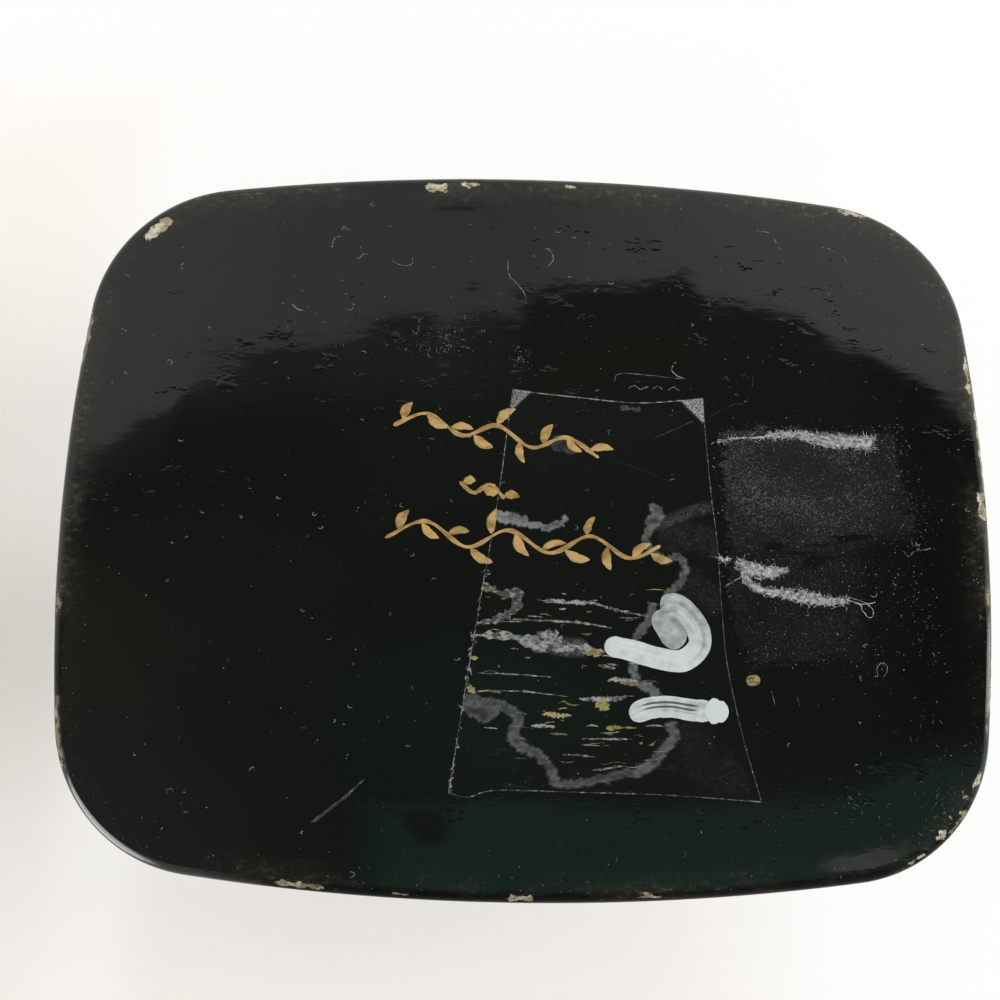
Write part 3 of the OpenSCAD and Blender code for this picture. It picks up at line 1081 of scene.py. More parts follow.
def makeResidueFinish():
    material, n, shader = newMaterial("label_residue", (0.012, 0.012, 0.011), 0.62)
    grit = n.noise((3000, 3600, 3000), 3, 0.8)
    drift = n.noise((90, 140, 90), 3)
    streaks = n.noise((260, 1500, 1000), 4)
    level = n.plus(grit, n.range(drift, 0.35, 0.65, -0.06, 0.06, "LINEAR"))
    pale = n.mix(n.range(level, 0.50, 0.74), (0.003, 0.0033, 0.0028), (0.15, 0.15, 0.145))
    n.link(pale, shader.inputs["Base Color"])
    # The mark falls to nothing at the patch's border, and noise breaks it up there
    worn = n.plus(n.mark("cover"), n.range(streaks, 0.3, 0.7, -0.45, 0.45, "LINEAR"))
    n.link(n.times(n.range(worn, 0.35, 0.62), n.mark("weight")), shader.inputs["Alpha"])
    n.bump([(grit, 2e-5)], shader)
    return material


def makeResidue(r):
    # Rings of a closed spline round the corners, drawn in to the middle
    around = r["around"]
    closed = r["corners"] + r["corners"][:1]
    border = spline(closed, around + 1)[:-1]
    share = np.linspace(1, 0, r["rings"])[:, None, None]
    middle = np.array(r["middle"])
    plan = middle + (border - middle)[None] * share
    x, y = plan[..., 0], plan[..., 1]
    cover = np.broadcast_to(smoothStep(0, 0.16, 1 - share[..., 0]), x.shape).copy()
    cover = np.minimum(cover, 1 - smoothStep(46, 54, x + 0.1 * (y - 2)) * 0.55)
    for spot, reachX, reachY in r["bare"]:
        cover *= 1 - 0.75 * np.exp(-(((x - spot[0]) / reachX) ** 2 + ((y - spot[1]) / reachY) ** 2))
    # Thickest in its upper half, and thin towards the box's side
    weight = 0.60 - 0.44 * smoothStep(-1.0, 4.5, y) - 0.26 * smoothStep(42, 49, x)
    rise = r["gap"] + 0.02 * smoothStep(0, 0.05, 1 - share[..., 0])
    outer = surface(onUnderside(x, y, rise), False, True, cover=cover, weight=weight)
    inner = surface(onUnderside(x, y, r["gap"]), False, True, True, cover=cover, weight=weight)
    makePiece("label_residue", [outer, inner], makeResidueFinish(), "base", "label_paper", merge=0.0005)
    # Crumbs of paper left in the glue, thinning out past the border on the right
    draw = np.random.default_rng(r["crumbSeed"])
    bag = []
    for k in range(r["crumbs"]):
        edge = border[draw.integers(0, around)]
        out = math.sqrt(draw.random()) * draw.uniform(0.96, 1.04)
        spot = middle + (edge - middle) * out
        if spot[0] > 48:
            spot = spot + (abs(draw.normal(0, 1.6)), 0)
        aways = [((spot[0] - c[0]) / a) ** 2 + ((spot[1] - c[1]) / b) ** 2 for c, a, b in r["bare"]]
        clear = sum(math.exp(-away) for away in aways)
        upper = 1.0 if spot[1] < 2 else 0.62
        if draw.random() > upper * (1 - 0.9 * min(clear, 1)):
            continue
        size = 0.035 + 0.05 * draw.random() ** 2
        bag.append(fleck(spot, draw.normal(0, 0.7), size * draw.uniform(1.2, 2.6), size, 0.04, onUnderside,
                         draw.random() ** 2.2 * 0.9))
    makePiece("label_crumbs", bag, dustFinish, "base", "label_paper", merge=0.0004)


makeResidue(residue)


def makeScraps(r):
    # Torn strips: a thin felted body with loose fibres laid mostly along it, and a few long threads
    draw = np.random.default_rng(r["fibreSeed"])
    bag = []
    count = 70
    for knots, halves, fibres in r["strips"]:
        spine = spline(knots, count)
        half = np.interp(np.linspace(0, 1, count), np.linspace(0, 1, len(halves)), halves)
        frayed = half * ragged(draw, count, 0.22, 2)
        shade = draw.uniform(0.25, 0.75, (count, 12))
        body = np.minimum(roundEnds(spine, 0.5) / 0.5, 1) * frayed * 0.7
        shade = shade * np.linspace(0.7, 1.3, count)[:, None]
        bag.append(stroke(spine, body, 0.05, onUnderside, 12, shade, 0.02))
        for k in range(int(fibres * 1.25)):
            i = draw.integers(0, count)
            ahead = spine[min(i + 1, count - 1)] - spine[max(i - 1, 0)]
            lay = math.atan2(ahead[1], ahead[0])
            aside = draw.uniform(-1, 1)
            start = spine[i] + aside * frayed[i] * np.array([-math.sin(lay), math.cos(lay)])
            aim = lay + draw.normal(0, 0.45) + (math.pi if draw.random() < 0.5 else 0)
            length = draw.uniform(0.3, 1.0) * (1.5 if draw.random() < 0.08 else 1)
            heading = aim + draw.normal(0, 0.9) * np.linspace(0, 1, 6)
            steps = np.column_stack([np.cos(heading), np.sin(heading)]) * length / 6
            path = start + np.cumsum(steps, axis=0)
            rise = 0.03 + draw.uniform(0, 0.10) * (1 - abs(aside))
            half = leafHalf(6, draw.uniform(0.015, 0.035), 0.5) + 0.004
            bag.append(stroke(path, half, 0.03, onUnderside, 4, draw.uniform(0.2, 1.1), rise))
    for knots in r["threads"]:
        path = spline(knots, 40)
        path += draw.normal(0, 0.03, path.shape)
        half = 0.035 * ragged(draw, 40, 0.5)
        bag.append(stroke(path, half, 0.04, onUnderside, 5, draw.uniform(0.3, 0.8), 0.02))
    return makePiece("torn_scraps", bag, fibreFinish, "base", "label_paper", merge=0.0004)


scraps = makeScraps(residue)
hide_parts("label_scraps")
print("stage: label residue")


# Lint, dust and scratches

dirt = {
    "seed": 44,
    "specks": 1500,
    "gathered": 900,  # specks against the lower edge
    "curls": 190,
    "clearShare": 1 - 1.2 / 55,  # of the outline; nothing loose lies further out
    "lints": [
        # path, half width, shade
        ([(20.0, -22.2), (19.8, -21.4), (20.6, -20.6), (21.7, -20.2)], 0.07, 0.8),
        ([(21.3, -20.2), (16.8, -20.6), (12.5, -20.8), (11.7, -19.6)], 0.04, 0.55),
        ([(13.7, -18.7), (14.5, -19.1), (15.3, -18.6), (16.5, -19.0)], 0.06, 0.6),
        ([(17.0, -18.6), (17.8, -19.1), (18.5, -18.5)], 0.05, 0.5),
        ([(19.2, -18.5), (20.0, -19.0), (20.8, -18.5)], 0.06, 0.55),
        ([(25.0, -14.9), (28.2, -16.6), (30.0, -17.0), (31.1, -19.5), (31.2, -21.1)], 0.03, 0.25),
        ([(51.1, 3.5), (51.8, 4.3), (52.5, 3.6), (53.5, 3.4), (55.0, 3.1)], 0.06, 0.6),
        ([(52.3, 1.7), (52.5, 2.7), (53.3, 2.8), (53.0, 3.5)], 0.045, 0.5),
        ([(46.2, 20.5), (46.8, 20.4), (46.7, 19.4), (47.4, 18.7), (48.1, 19.2), (47.8, 20.3), (47.1, 20.6)],
         0.05, 0.55),
        ([(-3.4, -37.1), (-3.3, -35.0), (-1.9, -33.4), (-1.0, -32.1), (-0.8, -30.6)], 0.045, 0.7),
        ([(2.0, -36.1), (3.0, -37.4), (2.5, -38.7), (1.8, -39.1)], 0.055, 0.75),
        ([(-20.0, -36.6), (-18.5, -35.9), (-17.1, -36.1), (-17.0, -37.3)], 0.04, 0.6),
        ([(-28.7, -38.7), (-28.4, -38.4), (-28.2, -39.6), (-27.1, -40.1)], 0.05, 0.6),
        ([(-27.2, -40.9), (-26.8, -41.5), (-26.5, -41.1), (-25.9, -41.0)], 0.045, 0.55),
        ([(-24.9, -36.7), (-24.4, -36.9), (-24.0, -37.4), (-23.3, -37.5)], 0.05, 0.6),
        ([(-33.7, -29.8), (-32.8, -29.0), (-32.1, -28.9)], 0.09, 0.9),
        ([(-26.3, -29.2), (-25.3, -29.2), (-25.0, -30.2)], 0.05, 0.6),
        ([(-57.3, -33.6), (-56.7, -33.3), (-56.4, -33.0)], 0.05, 0.6),
        ([(-57.0, -25.5), (-56.6, -25.3), (-56.2, -25.2)], 0.05, 0.6),
        ([(-50.4, -20.9), (-50.1, -21.2), (-49.7, -20.8), (-50.0, -20.6)], 0.05, 0.7),
        ([(31.8, -42.4), (34.0, -42.2), (35.0, -40.8), (35.6, -39.6)], 0.05, 0.5),
        ([(42.2, -40.2), (44.6, -38.9), (45.2, -37.6)], 0.045, 0.45),
    ],
    "scratches": [
        ([(-27.7, 40.3), (-25.6, 38.6), (-23.4, 36.9), (-20.9, 34.6)], 0.17, 0.24),
        ([(-27.2, 40.2), (-24.9, 38.2), (-22.6, 36.5)], 0.16, 0.14),
        ([(17.0, -11.5), (22.7, -14.2)], 0.035, 0.3),
        ([(11.1, -8.7), (15.0, -7.2), (18.9, -5.7)], 0.022, 0.15),
        ([(-52.3, -37.7), (-49.6, -38.5), (-47.3, -38.9), (-45.0, -39.4)], 0.03, 0.25),
        ([(32.5, 22.6), (32.9, 24.4)], 0.05, 0.5),
        ([(35.9, 23.2), (36.2, 24.6)], 0.04, 0.35),
    ],
    "smears": [
        # middle, spread, how many short marks, the way they lie
        ((-12.2, -25.6), (1.9, 1.5), 110, 0.9),
        ((-15.6, -24.0), (2.6, 0.7), 40, 0.2),
        ((-9.8, -28.2), (1.3, 0.5), 22, -0.5),
        ((-1.7, -22.2), (0.8, 1.0), 46, 1.2),
        ((-32.4, -28.0), (2.0, 1.2), 26, 0.4),
        ((22.0, -33.5), (2.8, 1.0), 16, 0.0),
        ((-6.4, -31.4), (2.4, 1.0), 22, 0.1),
        ((52.0, 26.0), (2.0, 3.0), 26, 1.4),
        ((45.0, 36.0), (3.0, 1.5), 40, 1.0),
        ((54.4, 38.0), (2.2, 2.6), 90, -0.9),
    ],
}


def makeDirt(d):
    draw = np.random.default_rng(d["seed"])
    bag = []
    for knots, half, shade in d["lints"] + d["scratches"]:
        path = spline(knots, 40)
        path += draw.normal(0, 0.022, path.shape)
        width = (leafHalf(40, half, 0.5) * 0.5 + half * 0.5) * ragged(draw, 40, 0.7, 2)
        bag.append(stroke(path, np.minimum(width, half), 0.04, onUnderside, 5,
                          (shade * ragged(draw, 40, 0.7, 2))[:, None]))

    def scatter():
        while True:
            spot = draw.uniform((-62, -49), (62, 49))
            if shrinkAt(*spot) < d["clearShare"]:
                return spot

    for k in range(d["curls"]):
        radius = draw.uniform(0.12, 0.42)
        turn = draw.uniform(0, 2 * math.pi) + np.linspace(0, draw.uniform(1.0, 5.0), 10)
        path = scatter() + radius * np.column_stack([np.cos(turn), np.sin(turn) * draw.uniform(0.4, 1)])
        path += draw.normal(0, 0.04, path.shape)
        half = 0.016 + leafHalf(10, 0.03, 0.5)
        bag.append(stroke(path, half, 0.03, onUnderside, 4, draw.uniform(0.1, 0.8)))
    for middle, spread, count, lay in d["smears"]:
        for k in range(count):
            spot = draw.normal(middle, spread)
            if shrinkAt(*spot) > 0.975:
                continue
            aim = lay + draw.normal(0, 0.7)
            step = draw.uniform(0.08, 0.42) * toward(aim)
            path = spline([spot, spot + step + draw.normal(0, 0.07, 2), spot + 2 * step], 6)
            bag.append(stroke(path, leafHalf(6, draw.uniform(0.015, 0.04), 0.5), 0.02, onUnderside, 4,
                              draw.uniform(0.0, 0.6)))
    for k in range(d["specks"]):
        size = 0.025 + 0.07 * draw.random() ** 3
        bag.append(fleck(scatter(), draw.uniform(0, math.pi), size * 1.2, size, size * 0.6, onUnderside,
                         draw.random() ** 1.6))
    # More of it has gathered against the lower edge
    for k in range(d["gathered"]):
        at = draw.integers(0, len(ringShare))
        spot = ring(0)[at] - ringOutward[at] * (0.5 + abs(draw.normal(0, 1.5)))
        size = 0.03 + 0.05 * draw.random() ** 2
        bag.append(fleck(spot, draw.uniform(0, math.pi), size * draw.uniform(1, 3), size, size * 0.5, onEdge,
                         draw.random() ** 1.8 * 0.7))
    makePiece("dust_and_lint", bag, dustFinish, "base", None, merge=0.0004)


makeDirt(dirt)
print("stage: dust and lint")


# Lid, collar and linings

shoulder = base["height"] + 15.0  # where the wall turns into the crown
lid = {
    "seam": base["height"],
    "shoulder": shoulder,
    "crown": lidHigh.z / mm - shoulder,
    "outPower": 3.5,
    "upPower": 2.2,
    "lastTurn": 86.0,  # degrees; the crown is level from here to its middle
    "wall": 2.7,
    "under": 5.4,  # rise of the crown's inner face
    "liningInset": 3.2,
    "liningRise": 4.9,
    "lip": 0.55,
    "waviness": 0.45,
}

ringArc = np.concatenate([[0], np.cumsum(np.hypot(*np.diff(np.vstack([ring(0), ring(0)[:1]]), axis=0).T))])
wallLength = ringArc[-1]


def crownRise(shrink, height):
    # Height over the shoulder where the outline is drawn in to this share of itself
    sine = np.sqrt(np.clip(1 - shrink ** lid["outPower"], 0, 1)) / math.sin(math.radians(lid["lastTurn"]))
    return height * np.minimum(sine, 1) ** (2 / lid["upPower"])


def lidHeight(x, y):
    shrink = shrinkAt(x, y)
    dips = lid["waviness"] * (uneven(x + 31, y - 17) - 0.06) * (1 - smoothStep(0.8, 1, shrink))
    return lid["shoulder"] + crownRise(shrink, lid["crown"]) + dips


def onLid(x, y, rise):
    return np.stack([x, y, lidHeight(x, y) + rise], axis=-1)


def onWall(length, height, rise):
    # Lays points on the wall by the distance round it and their height
    share = np.interp(np.mod(length, wallLength), ringArc, np.arange(len(ringArc)) / (len(ringArc) - 1))
    centre, radius, outward = outlineFrame(share)
    plan = centre + (radius - wallDip(share) + rise)[..., None] * outward
    return np.concatenate([plan, np.broadcast_to(height, share.shape)[..., None]], axis=-1)


def crownRows(inset, rise, turns):
    # Inset, height and shrink of the crown's rings from its shoulder to its level middle
    rows = []
    for turn in np.radians(turns):
        shrink = math.cos(turn) ** (2 / lid["outPower"])
        rows.append((inset, lid["shoulder"] + float(crownRise(np.array(shrink), rise)), shrink))
    for shrink in (0.17, 0.11, 0.05, 0):
        rows.append((inset, lid["shoulder"] + rise, shrink))
    return rows


def makeLidShell(c):
    outer = crownRows(0, c["crown"], np.linspace(0, c["lastTurn"], 46))[::-1]
    crownCount = len(outer)
    outer += [(0, height, 1) for height in np.linspace(c["shoulder"], c["seam"] + c["lip"], 10)[1:-1]]
    lip = np.linspace(0, math.pi / 2, 6)
    outer += [(c["lip"] * (1 - math.cos(t)), c["seam"] + c["lip"] * (1 - math.sin(t)), 1) for t in lip]
    inner = [(c["wall"], c["seam"], 1), (c["wall"], c["seam"] + 8, 1)]
    inner += crownRows(c["wall"], c["under"], np.linspace(0, c["lastTurn"], 12))
    rows = np.array(outer + inner)
    points = sweep(rows[:, :2], rows[:, 2])
    points[:crownCount, :, 2] = lidHeight(points[:crownCount, :, 0], points[:crownCount, :, 1])
    points[crownCount:len(outer), :, :2] -= ringOutward * wallDip(ringShare)[:, None]
    return makePiece("lid_shell", [surface(points, False, True, False, chip=0.0)],
                     lacquerFinish, "lid", "black_lacquer", merge=0.002)


lidShell = makeLidShell(lid)
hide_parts("lid_wall", "lid_top")

boardFinish = makePaint("collar_paint", (0.020, 0.016, 0.012), (0.009, 0.008, 0.007), 0.42,
                        (70, 70, 500), 0.8)
liningFinish = makePaint("lining_paint", (0.030, 0.022, 0.016), (0.014, 0.011, 0.009), 0.75,
                         (300, 500, 400), 0.9)

lining = {
    "collarIn": 3.0,
    "collarOut": 4.5,
    "collarTop": base["height"] + 7.0,
    "floorInset": 4.9,
    "sheet": 0.5,
}


def makeCollar(v):
    # Closed section: up the outer face, over the rounded top, down the inner face
    outside, inside = v["collarIn"], v["collarOut"]
    middle, radius = (outside + inside) / 2, (inside - outside) / 2
    section = [(outside, z) for z in np.linspace(base["floor"], v["collarTop"] - radius, 8)[:-1]]
    section += [(middle - radius * math.cos(t), v["collarTop"] - radius * (1 - math.sin(t)))
                for t in np.linspace(0, math.pi, 9)]
    section += [(inside, z) for z in np.linspace(v["collarTop"] - radius, base["floor"], 8)[1:]]
    points = sweep(section)[:, ::2]
    shade = 0.5 + 3 * uneven(points[..., 0] * 2, points[..., 2] * 3)
    return makePiece("collar_ring", [surface(points, True, True, True, shade=shade)],
                     boardFinish, "base", "collar_board")


def makeLinings(v):
    # The floor sheet is cockled a little; the lid sheet follows the crown's inner face
    bottom = base["floor"]
    inset = v["floorInset"]
    rows = [(inset, bottom, s) for s in (0, 0.5, 1)]
    rows += [(inset, bottom + v["sheet"], s) for s in np.linspace(1, 0, 26)]
    rows = np.array(rows)
    sheet = sweep(rows[:, :2], rows[:, 2])[:, ::4]
    free = (rows[:, 1] > bottom + 0.1) & (rows[:, 2] < 0.99)
    cockles = 0.5 * uneven(sheet[..., 0] * 1.7, sheet[..., 1] * 1.7) - 0.04
    sheet[..., 2] += np.where(free[:, None], cockles, 0)
    shade = 0.5 + 3 * uneven(sheet[..., 0] + 70, sheet[..., 1])
    floorSheet = makePiece("floor_sheet", [surface(sheet, False, True, True, shade=shade)],
                           liningFinish, "base", "lining_paper", merge=0.002)
    turns = np.linspace(0, lid["lastTurn"], 14)
    above = crownRows(lid["wall"], lid["under"], turns)[::-1]
    below = crownRows(lid["liningInset"], lid["liningRise"], turns)
    rows = np.array(above + below)
    shroud = sweep(rows[:, :2], rows[:, 2])[:, ::4]
    shade = 0.5 + 3 * uneven(shroud[..., 0] - 70, shroud[..., 1])
    lidSheet = makePiece("lid_sheet", [surface(shroud, False, True, False, shade=shade)],
                         liningFinish, "lid", "lining_paper", merge=0.002)
    return floorSheet, lidSheet


collar = makeCollar(lining)
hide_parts("inner_collar")
floorSheet, lidSheet = makeLinings(lining)
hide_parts("floor_lining")
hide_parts("lid_lining")
print("stage: lid, collar and linings")


# Painted flowers on the lid and walls: brush strokes in the valley's usual manner

paints = {
    "gold": ((0.62, 0.40, 0.12), (0.30, 0.17, 0.04), 0.36),
    "red": ((0.50, 0.035, 0.025), (0.20, 0.008, 0.008), 0.30),
    "rose": ((0.72, 0.26, 0.26), (0.42, 0.06, 0.08), 0.32),
    "white": ((0.76, 0.72, 0.62), (0.45, 0.40, 0.32), 0.34),
    "blue": ((0.10, 0.22, 0.50), (0.03, 0.07, 0.22), 0.30),
    "green": ((0.085, 0.22, 0.070), (0.02, 0.075, 0.025), 0.34),
}
paintFinish = {
    name: makePaint(f"{name}_enamel", color, deep, rough, (400, 700, 700), 0.7)
    for name, (color, deep, rough) in paints.items()
}

painting = {
    "seed": 77,
    "thick": 0.045,
    "petalThick": 0.09,
    # The middle of the lid: a rosette of three rings, each with its radius, petals and paint
    "rosette": [(10.6, 12, "green"), (9.2, 10, "red"), (6.0, 8, "rose"), (3.4, 6, "white")],
    # The rest of its field: blossoms on a staggered grid, with the range of their radii
    "spacing": 9.6,
    "clearMiddle": 14.0,
    "fieldShare": 0.73,
    "blossom": (3.1, 4.5),
    "leaf": 3.6,
    "borders": [0.90, 0.80],  # shares of the outline for the gold lines round the lid's field
    "borderWaves": 26,
    "wallLines": [2.6, 5.2, 35.6, 41.8, 51.6],  # heights of the gold lines round the walls
    "wallBands": [(20.4, 8.4, 24, 7.2), (46.7, 3.0, 34, 3.8)],  # middle height, swing, waves and leaf length
}


def paintLeaf(bags, paint, start, aim, length, half, settle, draw, bend, vein, thick=painting["thick"]):
    path = leafPath(start, aim, bend, length, 12)
    width = leafHalf(12, half) + 0.02
    bags[paint].append(stroke(path, width, thick, settle, 6, draw.uniform(0.25, 0.9)))
    if vein:
        width = leafHalf(9, 0.09) + 0.02
        bags[vein].append(stroke(path[2:-1], width, 0.02, settle, 5, 0.8, painting["thick"]))


def paintBlossom(bags, spot, radius, petals, paint, settle, draw):
    # A ring of overlapping petals, a paler stroke in each, and a dotted golden eye
    first = draw.uniform(0, 2 * math.pi)
    thick = painting["petalThick"]
    pale = "rose" if paint == "red" else "white"
    spot = np.array(spot)
    half = radius * 1.6 / petals + 0.1
    for k in range(petals):
        aim = first + k * 2 * math.pi / petals
        start = spot + 0.16 * radius * toward(aim)
        paintLeaf(bags, paint, start, aim, radius * 0.82, half, settle, draw, 0.1, None, thick)
        glint = spot + 0.42 * radius * toward(aim + 0.12)
        end = glint + 0.34 * radius * toward(aim + 0.1)
        width = leafHalf(6, 0.05 * radius) + 0.02
        bags[pale].append(stroke(spline([glint, end], 6), width, 0.03, settle, 5, 0.7, thick))
    paintEye(bags, spot, radius, settle)


def paintEye(bags, spot, radius, settle):
    # Six dots in a ring round a seventh
    step = 0.045 * radius * np.array([1, 0])
    for k in range(7):
        reach = 0.0 if k == 6 else 0.13 * radius
        middle = np.array(spot) + reach * toward(k * math.pi / 3)
        path = spline([middle - step, middle, middle + step], 6)
        half = roundEnds(path, 0.075 * radius)
        bags["gold"].append(stroke(path, half, 0.05, settle, 6, 0.9, painting["petalThick"]))


def paintRosette(bags, rings, settle, draw):
    # Rings of petals from the widest to the smallest, each laid a little higher than the last
    for level, (radius, petals, paint) in enumerate(rings):
        for k in range(petals):
            aim = (k + 0.5 * level) * 2 * math.pi / petals
            start = 0.12 * radius * toward(aim)
            paintLeaf(bags, paint, start, aim, radius * 0.9, radius * 2.1 / petals, settle, draw, 0.0, None,
                      painting["thick"] + 0.05 * level)
    paintEye(bags, (0, 0), 7.0, lambda x, y, rise: settle(x, y, rise + 0.12))


def paintVine(bags, path, every, leaf, settle, draw, paint="green"):
    # A closed stem with a leaf at every step along it, to either side in turn
    bags[paint].append(stroke(path[:-1], 0.16, 0.03, settle, 5, 0.45, closed=True))
    gone = np.concatenate([[0], np.cumsum(np.hypot(*np.diff(path, axis=0).T))])
    for k, place in enumerate(np.arange(every * 0.6, gone[-1] - 0.5, every)):
        i = min(np.searchsorted(gone, place), len(path) - 2)
        ahead = path[i + 1] - path[i]
        side = 1 if k % 2 else -1
        aim = math.atan2(ahead[1], ahead[0]) + side * draw.uniform(0.6, 1.0)
        paintLeaf(bags, paint, path[i], aim, leaf * draw.uniform(0.75, 1.15), leaf * 0.16, settle, draw,
                  -side * 0.5, "gold" if leaf > 2.5 else None)


def paintField(bags, p, draw):
    # Every other row is moved half a space along; each blossom lies on a few leaves
    kinds = [("red", 6), ("white", 6), ("blue", 5), ("rose", 7), ("white", 5), ("red", 5), ("rose", 6)]
    for row in range(-5, 6):
        for column in range(-6, 7):
            spot = np.array([(column + 0.5 * (row % 2)) * p["spacing"], row * p["spacing"] * 0.87])
            spot = spot + draw.uniform(-0.9, 0.9, 2)
            if np.hypot(spot[0] / 1.1, spot[1]) < p["clearMiddle"] or shrinkAt(*spot) > p["fieldShare"]:
                continue
            radius = draw.uniform(*p["blossom"])
            first = draw.uniform(0, 2 * math.pi)
            for k in range(4):
                aim = first + k * math.pi / 2 + draw.uniform(-0.3, 0.3)
                start = spot + 0.55 * radius * toward(aim)
                paintLeaf(bags, "green", start, aim, p["leaf"] * draw.uniform(0.8, 1.15), 0.62, onLid, draw,
                          draw.choice([-0.6, 0.6]), "gold")
            paint, petals = kinds[(row * 5 + column * 3) % len(kinds)]
            paintBlossom(bags, spot, radius, petals, paint, onLid, draw)


def makePainting(p):
    draw = np.random.default_rng(p["seed"])
    top = {name: [] for name in paints}
    walls = {"base": {name: [] for name in paints}, "lid": {name: [] for name in paints}}
    paintField(top, p, draw)
    paintRosette(top, p["rosette"], onLid, draw)
    plan = np.vstack([ring(0)[::2], ring(0)[:2:2]])
    for share in p["borders"]:
        top["gold"].append(stroke(plan[:-1] * share, 0.26, 0.04, onLid, 6, 0.7, closed=True))
    # A leafy gold scroll between the two lines, with a small blossom in each of its bends
    middle = sum(p["borders"]) / 2
    swing = (p["borders"][0] - p["borders"][1]) * 0.2
    waves = p["borderWaves"]
    share = np.arange(len(plan)) / (len(plan) - 1)
    scroll = plan * (middle + swing * np.sin(share * waves * 2 * math.pi))[:, None]
    paintVine(top, scroll, 2.9, 2.3, onLid, draw, "gold")
    for k in range(2 * waves):
        i = int((k + 0.5) / (2 * waves) * (len(plan) - 1))
        spot = plan[i] * (middle - swing * 0.9 * (1 if k % 2 == 0 else -1))
        paintBlossom(top, spot, 1.7, 5, ("white", "red")[k % 2], onLid, draw)
    for level in p["wallLines"]:
        path = np.column_stack([np.arange(400) / 400 * wallLength, np.full(400, level)])
        bag = walls["base" if level < base["height"] else "lid"]["gold"]
        bag.append(stroke(path, 0.24, 0.04, onWall, 6, 0.7, closed=True))
    for level, swing, waves, leaf in p["wallBands"]:
        bags = walls["base" if level < base["height"] else "lid"]
        turn = np.linspace(0, 2 * math.pi * waves / 2, waves * 14 + 1)
        path = np.column_stack([turn / turn[-1] * wallLength, level + swing * 0.5 * np.sin(turn)])
        paintVine(bags, path, wallLength / waves / 5, leaf * 0.72, onWall, draw)
        for k in range(waves):
            spot = ((k + 0.5) / waves * wallLength, level - swing * 0.55 * (1 if k % 2 == 0 else -1))
            paint = ("red", "rose", "white", "blue")[k % 4]
            paintBlossom(bags, spot, leaf * 0.56, 5, paint, onWall, draw)
    for place, body, bags in (("lid_top", "lid", top), ("lid_side", "lid", walls["lid"]),
                              ("base_side", "base", walls["base"])):
        for name, bag in bags.items():
            for part in bag:
                part["flip"] = True  # strokes are drawn as seen on the underside
            if bag:
                makePiece(f"{place}_{name}", bag, paintFinish[name], body, None, merge=0.001)


makePainting(painting)
print("stage: painted flowers")


# Camera, floor and light

photoCamera = {
    "spot": (-7.26, 23.19, -140.64),
    "axis": (0.0226, -0.1788, 0.9836),
    "right": (0.99954, -0.01605, -0.02591),
    "lensShare": 1.05,  # lens length over sensor width
}


def makeCamera(c):
    axis = Vector(c["axis"]).normalized()
    right = Vector(c["right"])
    right = (right - axis * right.dot(axis)).normalized()
    up = (-axis).cross(right)
    camera = bpy.data.objects.new("camera", bpy.data.cameras.new("camera"))
    camera.data.sensor_width = 36
    camera.data.lens = 36 * c["lensShare"]
    camera.data.clip_start = 0.001
    camera.data.clip_end = 30
    turn = Matrix((right, up, -axis)).transposed()
    camera.matrix_world = Matrix.Translation(Vector(c["spot"]) * mm) @ turn.to_4x4()
    bpy.context.scene.collection.objects.link(camera)
    bpy.context.scene.camera = camera


makeCamera(photoCamera)

